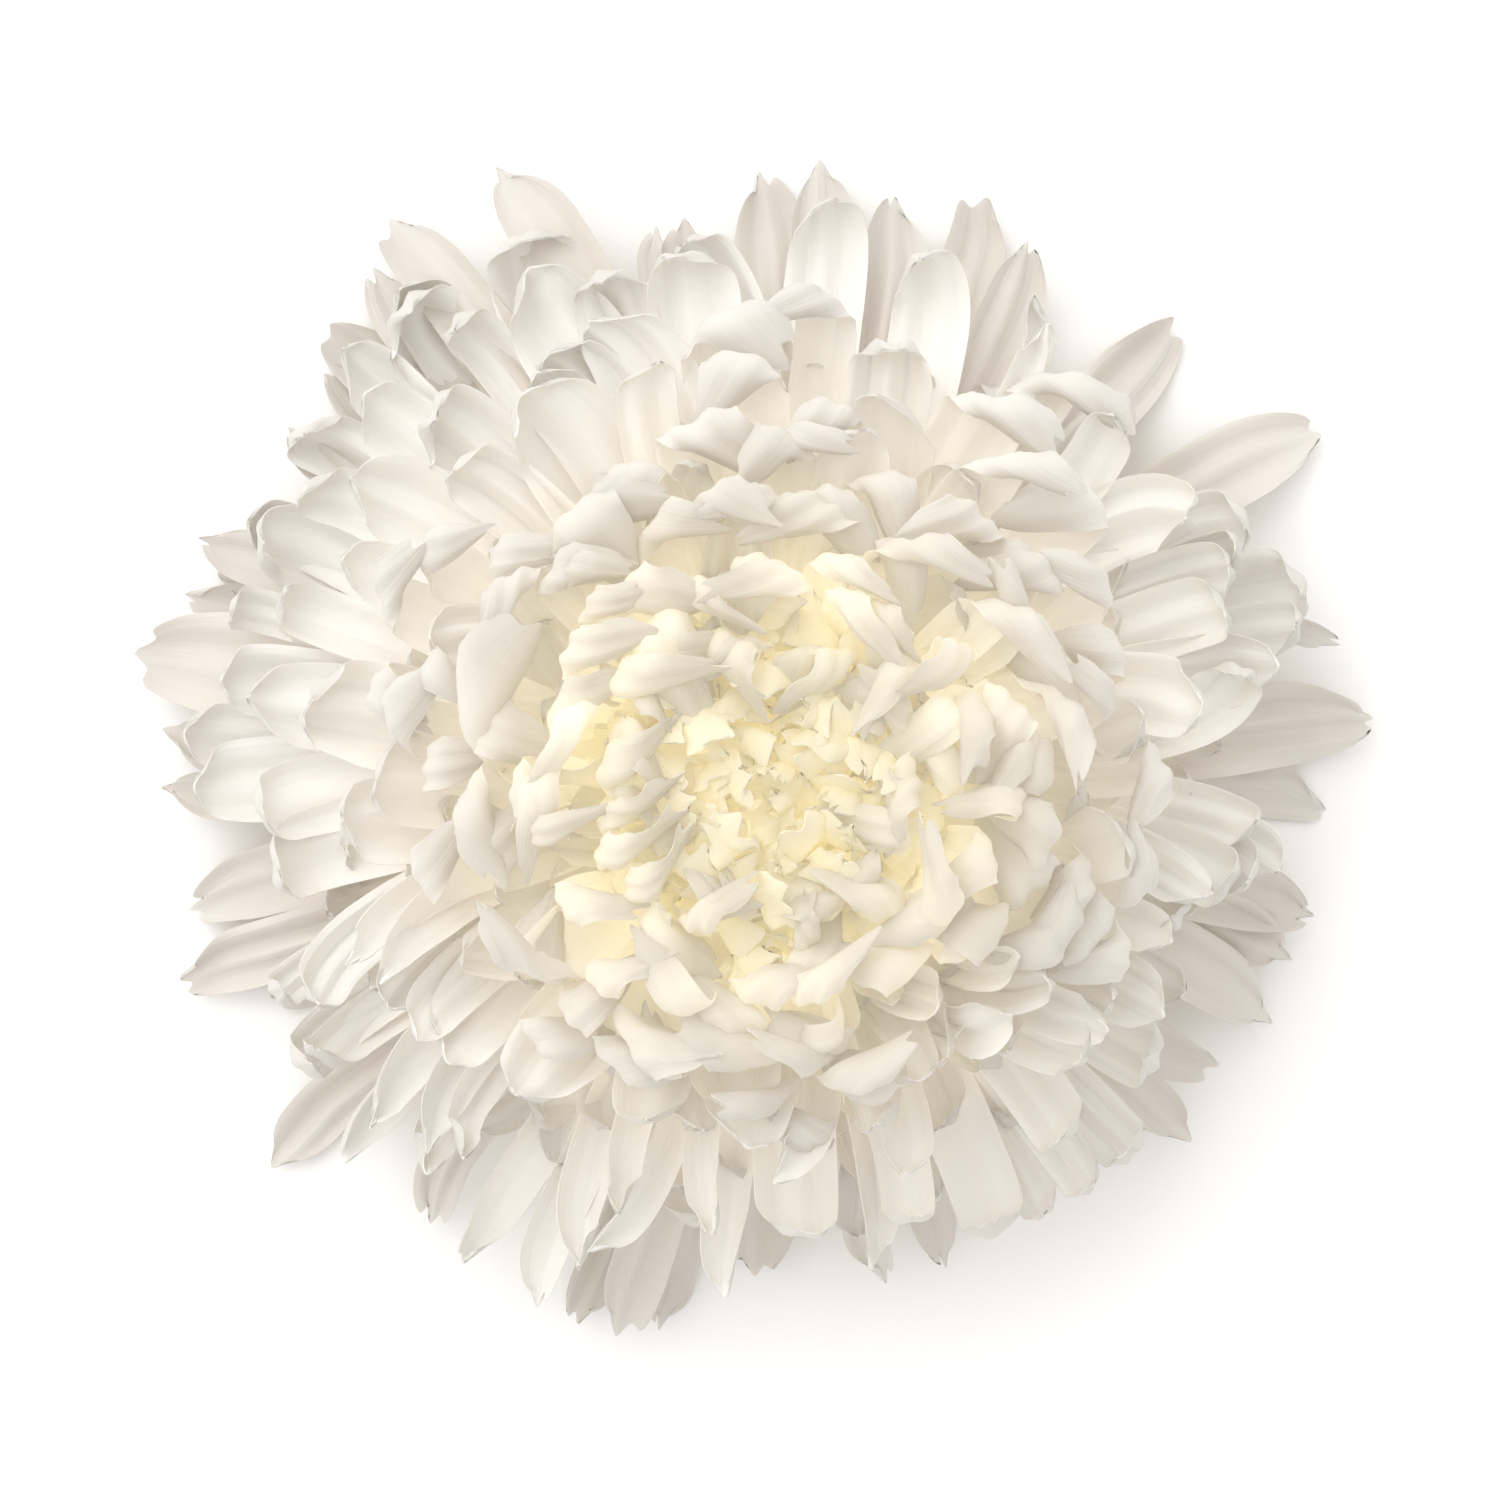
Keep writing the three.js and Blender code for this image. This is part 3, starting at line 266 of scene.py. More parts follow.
def openPath(row, form, number, tipHeight):
    tipX, tipY, bodyX, bodyY, width = row[:5]
    reach = fromAxis(tipX, tipY)
    root = rootOf(reach, bodyX, bodyY)
    outward = unit(np.array([tipX - bodyX, tipY - bodyY, 0.0]))
    rise = radians(varied(form["rise"], number, "rise"))
    angle = radians(max(varied(form["fold"], number, "fold"), opening["leastFold"]))
    slant = radians(form["slant"] * draw(number, "slant"))
    radius = form["foldRadius"]
    before = width / 2 * tan(abs(slant)) + opening["clear"]
    # how far the rolled end reaches past the flat one's start, outward and upward
    turned = np.linspace(0, angle, opening["turnSteps"])
    forward = before + radius * np.sin(turned)
    raised = radius * (1 - np.cos(turned))
    forward = np.append(forward, forward[-1] + form["flap"] * cos(angle))
    raised = np.append(raised, raised[-1] + form["flap"] * sin(angle))
    furthest = np.max(forward * cos(rise) - raised * sin(rise))
    highest = np.max(forward * sin(rise) + raised * cos(rise))
    end = np.array([tipX, tipY, tipHeight]) - outward * furthest - up * highest
    run = max(hypot(end[0] - bodyX, end[1] - bodyY), opening["shortestRun"])
    body = end - sloping(outward, rise) / cos(rise) * run
    start = mix(root, body, opening["startShare"])
    steep = float(ease(0, opening["steepBlend"], opening["steepWithin"] - reach))
    rootRise = radians(mix(form["rootRise"], opening["steepRoot"], steep))
    start[2] = root[2] + hypot(start[0] - root[0], start[1] - root[1]) * tan(rootRise)
    firstOutward = unit((body - root) * np.array([1, 1, 0]))
    fold = {"before": before, "radius": radius, "angle": angle, "slant": slant, "flap": form["flap"],
            "tipLength": form["tipShare"] * width}
    return foldedPath(bezier(root, start, body, end), firstOutward, outward, fold)


# How an incurved petal stands and folds over. Two values are for one near the heart and one further out. Its
# rise, its drop and its most fold are in degrees, its twist and slant in radians.
curling = {
    "leaning": (18, 40), "rise": (74, 34), "riseSpread": 6, "drop": (24, 16), "mostFold": 168,
    "rootWithin": 34, "rootShare": 0.74, "rootRadii": (12, 27), "rootHeight": 38,
    "twistShare": (0.75, 0.4), "twistSpread": (0.6, 0.25), "mostTwist": 1.2,
    "mostSlant": (0.5, 0.8),  # a steep petal that is folded more aslant would point up
    "leastSlant": 0.25, "slantSpread": 0.4, "clear": 0.3, "kneeBack": 0.9, "kneeDown": 1.5,
    "startShare": 0.35, "startLift": 1.5, "kneeRun": (5, 11), "flapShare": 0.75, "widthShare": 0.25,
}


def curledPath(row, form, number, bendHeight):
    bendX, bendY, tipX, tipY, width = row[:5]
    reach = fromAxis(bendX, bendY)
    outwardAngle = atan2(bendY - heartY, bendX - heartX)
    radial = toward(outwardAngle)
    root = rootOf(reach, bendX, bendY)
    if reach < curling["rootWithin"]:
        nearest, furthest = curling["rootRadii"]
        radius = min(max(reach * curling["rootShare"], nearest), furthest)
        root = axis + up * curling["rootHeight"] + radial * radius
    # the flap points the way that the petal is mirrored by the fold line
    away = atan2(tipY - bendY, tipX - bendX) - outwardAngle - pi
    away = (away + pi) % (2 * pi) - pi
    lying = float(ease(*curling["leaning"], reach))
    # part of that turn comes from a twist of the petal, the rest from the slant of its fold
    drawnTwist = mix(*curling["twistSpread"], lying) * draw(number, "stray")
    twist = away * mix(*curling["twistShare"], lying) + drawnTwist
    twist = max(-curling["mostTwist"], min(curling["mostTwist"], twist))
    facing = toward(outwardAngle + twist)
    turn = draw(number, "moreSlant")
    most = mix(*curling["mostSlant"], lying)
    more = copysign(curling["leastSlant"] + curling["slantSpread"] * abs(turn), turn)
    slant = max(-most, min(most, (away - twist) / 2 + more))
    rise = radians(mix(*curling["rise"], lying) + curling["riseSpread"] * draw(number, "rise"))
    # the angle at which the flap comes to lie a little below level
    drop = radians(varied(curling["drop"], number, "fold"))
    level = sin(rise) * sin(slant) ** 2 + sin(drop)
    a, b = sin(rise) * cos(slant) ** 2, cos(rise) * cos(slant)
    angle = atan2(b, a) + acos(max(-1, -level / hypot(a, b)))
    angle = min(angle, radians(curling["mostFold"]))
    radius = form["foldRadius"]
    before = width / 2 * tan(abs(slant)) + curling["clear"]
    knee = np.array([bendX, bendY, bendHeight]) - sloping(radial, rise) * before
    knee -= facing * radius * curling["kneeBack"] + up * radius * curling["kneeDown"]
    low = root + (knee - root) * curling["startShare"] + up * curling["startLift"]
    body = bezier(root, low, knee - sloping(radial, rise) * mix(*curling["kneeRun"], lying), knee)
    firstOutward = unit((knee - root) * np.array([1, 1, 0]))
    over = hypot(bendX - tipX, bendY - tipY)
    flap = over * curling["flapShare"] + width * curling["widthShare"]
    fold = {"before": before, "radius": radius, "angle": angle, "slant": slant, "flap": flap,
            "tipLength": flap + radius * angle + before}
    return foldedPath(body, firstOutward, facing, fold)


def makeBlade(name, alongCuts, acrossCuts, sharpFrom=60):
    # a flat strip with a thickness, which every petal is a bent copy of
    bpy.ops.object.select_all(action="DESELECT")
    bpy.ops.mesh.primitive_grid_add(x_subdivisions=acrossCuts, y_subdivisions=alongCuts, size=2)
    blade = bpy.context.object
    blade.name = name
    wall = blade.modifiers.new("wall", "SOLIDIFY")
    wall.thickness = 1
    wall.offset = 0
    bpy.ops.object.modifier_apply(modifier="wall")
    bpy.ops.object.mode_set(mode="EDIT")
    bpy.ops.mesh.select_all(action="DESELECT")
    bpy.ops.mesh.edges_select_sharp(sharpness=radians(sharpFrom))
    bpy.ops.mesh.mark_sharp()
    bpy.ops.object.mode_set(mode="OBJECT")
    place = np.empty(len(blade.data.vertices) * 3)
    blade.data.vertices.foreach_get("co", place)
    x, y, z = place.reshape(-1, 3).T
    back = blade.data.attributes.new("back", "FLOAT", "POINT")
    back.data.foreach_set("value", (z < 0).astype(np.float32))
    blade.data.attributes.new("tone", "FLOAT", "POINT")
    return {"object": blade, "along": (y + 1) / 2, "across": x, "side": np.sign(z)}


# What all petals share. Along a petal, 0 is its root and 1 its tip, and across it, 0 is its middle and 1 an
# edge. What a draw varies is a pair, the value and how far the draw may move it. A form's groove and ruffle
# are those of a petal as wide as "formWidth".
drawn = {
    "endWidth": (1, 0.6), "tipPower": (1, 0.2), "cup": (1, 0.25), "lopsided": (0, 0.35),
    "ridges": (2, 0.6), "ridgeShift": (0, 1.6), "ridgeSway": (0, 0.9), "groove": (1, 0.5),
    "waves": (2.4, 1.2), "waveShift": (0, 3), "teeth": (1.5, 0.6), "teethShift": (0, 2), "point": (0, 0.4),
}
build = {
    "turning": (0.3, 0.85), "rollPower": 1.5,  # where it turns from its first direction to its last
    "tipCrowding": 1.5,  # more than 1 puts more of the strip's rows near the tip
    "claw": 0.36, "widening": (0.08, 0.62), "cupAt": (0, 0.55, 0.8, 1), "veePower": 1.2, "formWidth": 8,
    "grooveFade": (1.6, 0.7, 4), "otherEdge": 1.5, "waving": (0.3, 0.7), "wavePower": 2.5,
    "asidePower": 2.5, "endPower": 1.5, "pointWidth": 0.45, "roundEnd": 0.16,
    "edgeThinning": 0.6, "thinPower": 3, "tipThinning": 0.35,
    "ground": 0.05, "yielding": (0.1, 0.5), "leastYield": 0.1,  # a petal that would sink in is bent up
}


def petalFrames(path, form, number):
    # the directions along, across and out of the face of a petal, all along its middle line
    points = path["points"]
    place = np.linspace(0, 1, len(points))[:, None]
    tangent = np.gradient(points, axis=0)
    tangent /= np.linalg.norm(tangent, axis=1)[:, None]
    turn = ease(*build["turning"], place)
    outward = path["first"] * (1 - turn) + path["last"] * turn
    side = np.cross(up, outward)
    side -= tangent * np.sum(side * tangent, axis=1)[:, None]
    side /= np.linalg.norm(side, axis=1)[:, None]
    normal = np.cross(tangent, side)
    roll = np.radians(form["roll"] * draw(number, "roll")) * place ** build["rollPower"]
    return tangent, side * np.cos(roll) + normal * np.sin(roll), normal * np.cos(roll) - side * np.sin(roll)


def petalCoords(blade, path, width, form, number, thickness):
    # where the strip's points come to lie on one petal, in millimetres: u runs along it, v across it, and t
    # from where its tip starts to narrow
    some = {name: varied(pair, number, name) for name, pair in drawn.items()}
    points = path["points"]
    bodyLength = np.linalg.norm(points[1] - points[0]) * (len(points) - 1)
    length = bodyLength + path["flat"]
    u = 1 - (1 - blade["along"]) ** build["tipCrowding"]
    v = blade["across"]
    at = np.minimum(u * length / bodyLength, 1) * (len(points) - 1)
    before = np.minimum(at.astype(int), len(points) - 2)
    share = (at - before)[:, None]
    lines = (points, *petalFrames(path, form, number))
    centre, along, across, face = [line[before] * (1 - share) + line[before + 1] * share for line in lines]

    # the outline
    claw = mix(build["claw"], 1, ease(*build["widening"], u))
    t = np.clip(1 - (1 - u) * length / path["tipLength"], 0, 1)
    endWidth = form["endWidth"] * some["endWidth"]
    narrowing = np.maximum(1 - t ** (form["tipPower"] * some["tipPower"]), 0) ** form["tipEdge"]
    half = width / 2 * claw * (endWidth + (1 - endWidth) * narrowing)

    # the section: a cup, deeper on one side, with furrows and waved edges
    rootCup, middleCup, tipCup = form["cup"]
    cup = np.interp(u, build["cupAt"], [rootCup, middleCup, middleCup, tipCup])
    cup = cup * some["cup"] * (1 + some["lopsided"] * np.sign(v))
    angle = v * cup
    lateral = half * np.sin(angle) / cup
    lift = half * (1 - np.cos(angle)) / cup + form["vee"] * half * np.abs(v) ** build["veePower"]
    inward, blunt, sideways = build["grooveFade"]
    fade = np.sin(np.pi * u ** inward) ** blunt * (1 - v ** sideways)
    furrow = np.cos(np.pi * some["ridges"] * v + some["ridgeShift"] + some["ridgeSway"] * u)
    lift += form["groove"] * some["groove"] * (width / build["formWidth"]) * fade * furrow
    wave = np.sin(2 * np.pi * some["waves"] * u + some["waveShift"] + build["otherEdge"] * np.sign(v))
    wave *= ease(*build["waving"], u) * np.abs(v) ** build["wavePower"]
    lift += form["ruffle"] * (half * 2 / build["formWidth"]) * wave

    # the middle line's sway, and the teeth and the point of the end
    sway = form["sway"] * width * draw(number, "sway") * np.sin(np.pi * u)
    sway += form["aside"] * draw(number, "aside") * t ** build["asidePower"]
    reachOut = form["teeth"] * np.cos(np.pi * some["teeth"] * v + some["teethShift"])
    reachOut += form["point"] * np.exp(-((v - some["point"]) / build["pointWidth"]) ** 2)
    reachOut -= build["roundEnd"] * width * endWidth * v * v

    # the end past the middle line is flat, then rolled up and back on a line that crosses it aslant
    past = np.maximum(u * length - bodyLength, 0) + t ** build["endPower"] * reachOut
    wide = lateral + sway
    cosSlant, sinSlant = cos(path["slant"]), sin(path["slant"])
    axle = across * cosSlant - along * sinSlant
    ahead = along * cosSlant + across * sinSlant
    onAxle = wide * cosSlant - past * sinSlant
    forward = past * cosSlant + wide * sinSlant
    start = path["before"] * cosSlant
    beyond = np.maximum(forward - start, 0)
    turned = np.minimum(beyond / path["radius"], path["angle"])
    rest = beyond - turned * path["radius"]
    aheadTurned = ahead * np.cos(turned)[:, None] + face * np.sin(turned)[:, None]
    faceTurned = face * np.cos(turned)[:, None] - ahead * np.sin(turned)[:, None]
    reached = np.minimum(forward, start) + path["radius"] * np.sin(turned)
    raised = path["radius"] * (1 - np.cos(turned))
    coords = centre + axle * onAxle[:, None] + ahead * reached[:, None] + face * raised[:, None]
    coords += aheadTurned * rest[:, None] + faceTurned * lift[:, None]

    # its thickness, less at the edges and the tip
    acrossTurned = axle * cosSlant + aheadTurned * sinSlant
    skin = faceTurned * np.cos(angle)[:, None] - acrossTurned * np.sin(angle)[:, None]
    thinning = 1 - build["edgeThinning"] * np.abs(v) ** build["thinPower"]
    thick = thickness * thinning * (1 - build["tipThinning"] * u) / 2
    coords += skin * (blade["side"] * thick)[:, None]
    yielding = np.maximum(ease(*build["yielding"], u), build["leastYield"])
    coords[:, 2] += yielding * max(0, np.max((build["ground"] - coords[:, 2]) / yielding))
    return coords


def bendCopy(blade, path, width, form, number, thickness):
    # one petal: a copy of the strip with its own mesh, bent into place
    mesh = blade["object"].data.copy()
    coords = petalCoords(blade, path, width, form, number, thickness)
    mesh.vertices.foreach_set("co", (coords * mm).astype(np.float32).ravel())
    tone = np.full(len(mesh.vertices), draw(number, "tone"), dtype=np.float32)
    mesh.attributes["tone"].data.foreach_set("value", tone)
    petal = bpy.data.objects.new(f"petal{number}", mesh)
    bpy.context.collection.objects.link(petal)
    return petal


def joined(petals, name, material):
    bpy.ops.object.select_all(action="DESELECT")
    for petal in petals:
        petal.select_set(True)
    bpy.context.view_layer.objects.active = petals[0]
    bpy.ops.object.join()
    layer = bpy.context.object
    layer.name = name
    layer.data.name = name
    bpy.ops.object.shade_smooth()
    layer.data.materials.clear()
    layer.data.materials.append(material)
    print(name, "petals", len(petals), "faces", len(layer.data.polygons))
    return layer


def feed(tree, node, inputs):
    # each input gets a value, or a link from another node's output
    for name, source in inputs.items():
        if isinstance(source, bpy.types.NodeSocket):
            tree.links.new(source, node.inputs[name])
        else:
            node.inputs[name].default_value = source


def add(tree, kind, inputs, **choices):
    # a new node, its choices set and its inputs fed
    node = tree.nodes.new("ShaderNode" + kind)
    for name, choice in choices.items():
        setattr(node, name, choice)
    feed(tree, node, inputs)
    return node


def ranged(tree, value, low, high, first=0, last=1):
    # a value's place between low and high, carried over to between first and last
    bounds = {"From Min": low, "From Max": high, "To Min": first, "To Max": last}
    return add(tree, "MapRange", {"Value": value, **bounds}).outputs["Result"]


def computed(tree, operation, *values):
    return add(tree, "Math", dict(enumerate(values)), operation=operation).outputs["Value"]


def blended(tree, blend, factor, *colours):
    # one colour laid over another, each an output, or its red, green and blue
    first, second = [c if isinstance(c, bpy.types.NodeSocket) else (*c, 1) for c in colours]
    inputs = {0: factor, 6: first, 7: second}
    return add(tree, "Mix", inputs, data_type="RGBA", blend_type=blend).outputs[2]


def ramped(tree, value, stops):
    node = add(tree, "ValToRGB", {"Fac": value})
    elements = node.color_ramp.elements
    while len(elements) < len(stops):
        elements.new(0.5)
    for element, (position, colour) in zip(elements, stops):
        element.position = position
        element.color = (*colour, 1)
    return node.outputs["Color"]


def mapped(tree, vector, scale, location=(0, 0, 0)):
    return add(tree, "Mapping", {"Vector": vector, "Scale": scale, "Location": location}).outputs["Vector"]


def noise(tree, vector, scale, detail=2):
    return add(tree, "TexNoise", {"Vector": vector, "Scale": scale, "Detail": detail}).outputs["Fac"]


def bumped(tree, height, strength, distance):
    return add(tree, "Bump", {"Height": height, "Strength": strength, "Distance": distance}).outputs["Normal"]


def newMaterial(name, roughness):
    material = bpy.data.materials.new(name)
    material.use_nodes = True
    shader = material.node_tree.nodes["Principled BSDF"]
    feed(material.node_tree, shader, {"Roughness": roughness})
    return material, material.node_tree, shader


def placeOn(tree):
    return add(tree, "TexCoord", {}).outputs["Object"]


def awayFromAxis(tree):
    level = mapped(tree, placeOn(tree), (1, 1, 0), (-heartX * mm, -heartY * mm, 0))
    return add(tree, "VectorMath", {0: level}, operation="LENGTH").outputs["Value"]


# The petals' colours. A range holds two bounds, and the values at them if they aren't 0 and 1. Its bounds lie
# along a petal, or are metres from the bloom's axis, or draws.
petalLook = {
    # the tip colour, greyer than the body, is painted shade on the petal ends
    "base": (0.999, 0.987, 0.94), "body": (0.998, 0.988, 0.97), "tip": (0.935, 0.922, 0.9),
    "baseTo": 0.15, "bodyAt": 0.5, "tipFrom": 0.95, "roughness": 0.5, "shine": 0.3,
    # a cream tint round the heart, a painted warm glow of light bounced among the crowded petals
    "heartGlowTint": (0.995, 0.99, 0.935), "tinted": (0.012, 0.045, 1, 0), "toned": (-1, 1, 0.985, 1.005),
    # the darker colour laid on the backs of the ends is painted shade
    "shadedBackTip": (0.785, 0.771, 0.75), "shadedBackEnd": (0.45, 0.75),
    # the colour and strength of a faint light that the petals give off, a painted glow
    "inner": (0.98, 0.96, 0.885), "paintedGlowStrength": 0.34, "deep": (0.022, 0.062, 0.9, 0.2),
    "beforeEnd": (0.3, 0.52, 1, 0.34), "veins": (14, 1.3, 1), "veinMove": 9, "veinGrain": (0.3, 0.0005),
    "through": (1, 0.972, 0.925), "glow": (0.4, 0.9, 0.6, 0.42), "outerGlow": (0.03, 0.055, 1, 0.5),
}


def petalMaterial(name, look):
    material, tree, shader = newMaterial(name, look["roughness"])
    uv = add(tree, "UVMap", {}).outputs["UV"]
    along = add(tree, "SeparateXYZ", {"Vector": uv}).outputs["Y"]
    away = awayFromAxis(tree)
    tone = add(tree, "Attribute", {}, attribute_name="tone").outputs["Fac"]
    back = add(tree, "Attribute", {}, attribute_name="back").outputs["Fac"]

    # creamier round the heart, a painted warm glow; a slightly different white from petal to petal; the ends
    # greyer and the backs of the ends cooler and darker, both painted shade
    stops = [(look["baseTo"], look["base"]), (look["bodyAt"], look["body"]), (look["tipFrom"], look["tip"])]
    near = ranged(tree, away, *look["tinted"])
    tinted = blended(tree, "MULTIPLY", near, ramped(tree, along, stops), look["heartGlowTint"])
    toned = {"Value": ranged(tree, tone, *look["toned"]), "Color": tinted}
    shadedBackEnd = computed(tree, "MULTIPLY", ranged(tree, along, *look["shadedBackEnd"]), back)
    white = add(tree, "HueSaturation", toned).outputs["Color"]
    white = blended(tree, "MULTIPLY", shadedBackEnd, white, look["shadedBackTip"])

    # a painted glow: the petals give off a faint light in place of light scattered deep in the crowded
    # petals, all but the ends
    deep = ranged(tree, away, *look["deep"])
    lit = computed(tree, "MULTIPLY", deep, ranged(tree, along, *look["beforeEnd"]))
    inner = blended(tree, "MIX", lit, (0, 0, 0), look["inner"])
    material.cycles.emission_sampling = "NONE"  # too faint to be sought out as a lamp

    # fine veins along the petal, which lie otherwise on each
    tonePlace = add(tree, "CombineXYZ", {"Z": tone}).outputs["Vector"]
    inputs = {0: tonePlace, 1: [look["veinMove"]] * 3, 2: mapped(tree, uv, look["veins"])}
    moved = add(tree, "VectorMath", inputs, operation="MULTIPLY_ADD").outputs["Vector"]
    normal = bumped(tree, noise(tree, moved, 1, 1), *look["veinGrain"])
    feed(tree, shader, {"Base Color": white, "Specular IOR Level": look["shine"], "Normal": normal,
                        "Emission Color": inner, "Emission Strength": look["paintedGlowStrength"]})

    # light comes through the thin petals
    warmer = blended(tree, "MULTIPLY", 1, white, look["through"])
    through = add(tree, "BsdfTranslucent", {"Color": warmer, "Normal": normal}).outputs["BSDF"]
    inward = ranged(tree, away, *look["outerGlow"])
    passing = computed(tree, "MULTIPLY", ranged(tree, along, *look["glow"]), inward)
    both = add(tree, "MixShader", {0: passing, 1: shader.outputs["BSDF"], 2: through}).outputs["Shader"]
    feed(tree, tree.nodes["Material Output"], {"Surface": both})
    return material


petalWhite = petalMaterial("petalWhite", petalLook)
# the guard petals lie low under the bloom: their darker, warmer colours, browner toward the root, are painted
# shade
shadedGuardWhite = petalMaterial("shadedGuardWhite", {
    **petalLook, "base": (0.81, 0.72, 0.61), "body": (0.83, 0.785, 0.73), "tip": (0.82, 0.795, 0.76),
    "shadedBackTip": (0.9, 0.88, 0.86), "glow": (0.4, 0.9, 0.5, 0.5),
})
# the heart's own cream, with painted shade on its greyer ends and on the backs of its ends, and a painted
# glow
heartCream = petalMaterial("heartCream", {
    **petalLook, "base": (0.998, 0.98, 0.9), "body": (0.98, 0.96, 0.89), "tip": (0.92, 0.9, 0.845),
    "shadedBackTip": (0.95, 0.94, 0.91), "inner": (0.98, 0.935, 0.77), "paintedGlowStrength": 0.26,
    "beforeEnd": (0.6, 1, 1, 0.34),
})

blade = makeBlade("blade", alongCuts=38, acrossCuts=12)
smallBlade = makeBlade("smallBlade", alongCuts=18, acrossCuts=10)
number = 0
layers = []
goldenAngle = pi * (3 - sqrt(5))


def around(reach, azimuth):
    return heartX + reach * cos(azimuth), heartY + reach * sin(azimuth)


# the open petals in three layers, of which every fifth petal of the lowest lies on the ground
openPetals = {"under": 2, "spread": 1.5, "guardHeight": (5.5, 3.5), "lowEvery": 5, "lowHeight": 0.2}
openLayers = [
    {"name": "guard_petals", "rows": guardPetals, "kind": "guard", "material": shadedGuardWhite,
     "broader": 1.15, "broaderStrap": 1, "thickness": 0.45},
    {"name": "outer_petals", "rows": outerPetals, "kind": "spoon", "material": petalWhite,
     "broader": 1.15, "broaderStrap": 1, "thickness": 0.42},
    {"name": "middle_petals", "rows": middlePetals, "kind": "spoon", "material": petalWhite,
     "broader": 1.2, "broaderStrap": 1.2, "thickness": 0.42},
]
for layer in openLayers:
    petals = []
    for row in layer["rows"]:
        number += 1
        kind = row[5] if len(row) > 5 else layer["kind"]
        if kind != "guard":
            height = domeAt(fromAxis(row[0], row[1])) - openPetals["under"]
            height += openPetals["spread"] * draw(number, "height")
        elif number % openPetals["lowEvery"] == 0:
            height = openPetals["lowHeight"]
        else:
            height = varied(openPetals["guardHeight"], number, "height")
        path = openPath(row, petalForms[kind], number, height)
        width = row[4] * layer["broaderStrap" if kind == "strap" else "broader"]
        petals.append(bendCopy(blade, path, width, petalForms[kind], number, layer["thickness"]))
    layers.append(joined(petals, layer["name"], layer["material"]))

# the incurved ones, three of which are broad caps: two values are for near the heart and for further out
incurved = {"outward": (16, 32), "under": (2.5, 1.2), "spread": 1.2, "broader": (1, 1.1), "width": (1, 0.12),
            "innerReach": 24, "thickness": 0.42}
broadCaps = [(-37, 3.5, -29, 5, 13), (-15.7, 15.3, -5, 18.5, 9.5), (-22.5, 30, -22.5, 25, 12)]
petals = []
for row in curledPetals:
    number += 1
    reach = fromAxis(row[0], row[1])
    outer = float(ease(*incurved["outward"], reach))
    height = domeAt(reach) - mix(*incurved["under"], outer) + incurved["spread"] * draw(number, "height")
    form = petalForms["cap" if row in broadCaps else "inner" if reach < incurved["innerReach"] else "curled"]
    width = row[4] * mix(*incurved["broader"], outer) * varied(incurved["width"], number, "width")
    path = curledPath((*row[:4], width), form, number, height)
    petals.append(bendCopy(blade, path, width, form, number, incurved["thickness"]))
layers.append(joined(petals, "incurved_petals", petalWhite))

# more of them between and under those, every third one open, and a close collar round the heart
crowd = {"count": 66, "reach": (21, 45), "reachPower": 0.7, "width": 8.2, "over": 5.5, "start": 0.6,
         "collar": 26, "collarReach": (18.5, 2.5), "collarWidth": 6.4, "collarOver": 3.6,
         "openEvery": 3, "openUnder": 6.5, "openRun": 10, "under": 3, "spread": 1.2, "aside": 0.4,
         "widths": (1, 0.25), "overs": (1, 0.3), "thickness": 0.42}
petals = []
for i in range(crowd["count"] + crowd["collar"]):
    number += 1
    if i < crowd["count"]:
        share = (i + 0.5) / crowd["count"]
        reach = mix(*crowd["reach"], share ** crowd["reachPower"])
        strip, width, over = blade, crowd["width"], crowd["over"]
    else:
        reach = varied(crowd["collarReach"], number, "stray")
        strip, width, over = smallBlade, crowd["collarWidth"], crowd["collarOver"]
    azimuth = i * goldenAngle + crowd["start"]
    x, y = around(reach, azimuth)
    width *= varied(crowd["widths"], number, "width")
    back = azimuth + crowd["aside"] * draw(number, "place")
    height = domeAt(reach) + crowd["spread"] * draw(number, "height")
    if i % crowd["openEvery"] == 0:
        form = petalForms["spoon"]
        row = (x, y, *around(reach - crowd["openRun"], back), width)
        path = openPath(row, form, number, height - crowd["openUnder"])
    else:
        form = petalForms["curled" if strip is blade else "floret"]
        over *= varied(crowd["overs"], number, "tip")
        row = (x, y, x - over * cos(back), y - over * sin(back), width)
        path = curledPath(row, form, number, height - crowd["under"])
    petals.append(bendCopy(strip, path, width, form, number, crowd["thickness"]))
layers.append(joined(petals, "crowded_petals", petalWhite))

# petals that stay under the others and close the gaps between them
filling = {"count": 116, "reach": (17, 56), "under": (11, 19), "lowering": (28, 50), "width": 9, "run": 11,
           "aside": 0.15, "thickness": 0.45}
form = petalForms["spoon"]
petals = []
for i in range(filling["count"]):
    number += 1
    reach = mix(*filling["reach"], sqrt((i + 0.5) / filling["count"]))
    azimuth = i * goldenAngle
    back = azimuth + filling["aside"] * draw(number, "place")
    row = (*around(reach, azimuth), *around(reach - filling["run"], back), filling["width"])
    under = mix(*filling["under"], float(ease(*filling["lowering"], reach)))
    path = openPath(row, form, number, domeAt(reach) - under)
    petals.append(bendCopy(smallBlade, path, filling["width"], form, number, filling["thickness"]))
layers.append(joined(petals, "inner_filling_petals", petalWhite))
for layer in layers:
    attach(layer, "root")
    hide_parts("ray_petals")

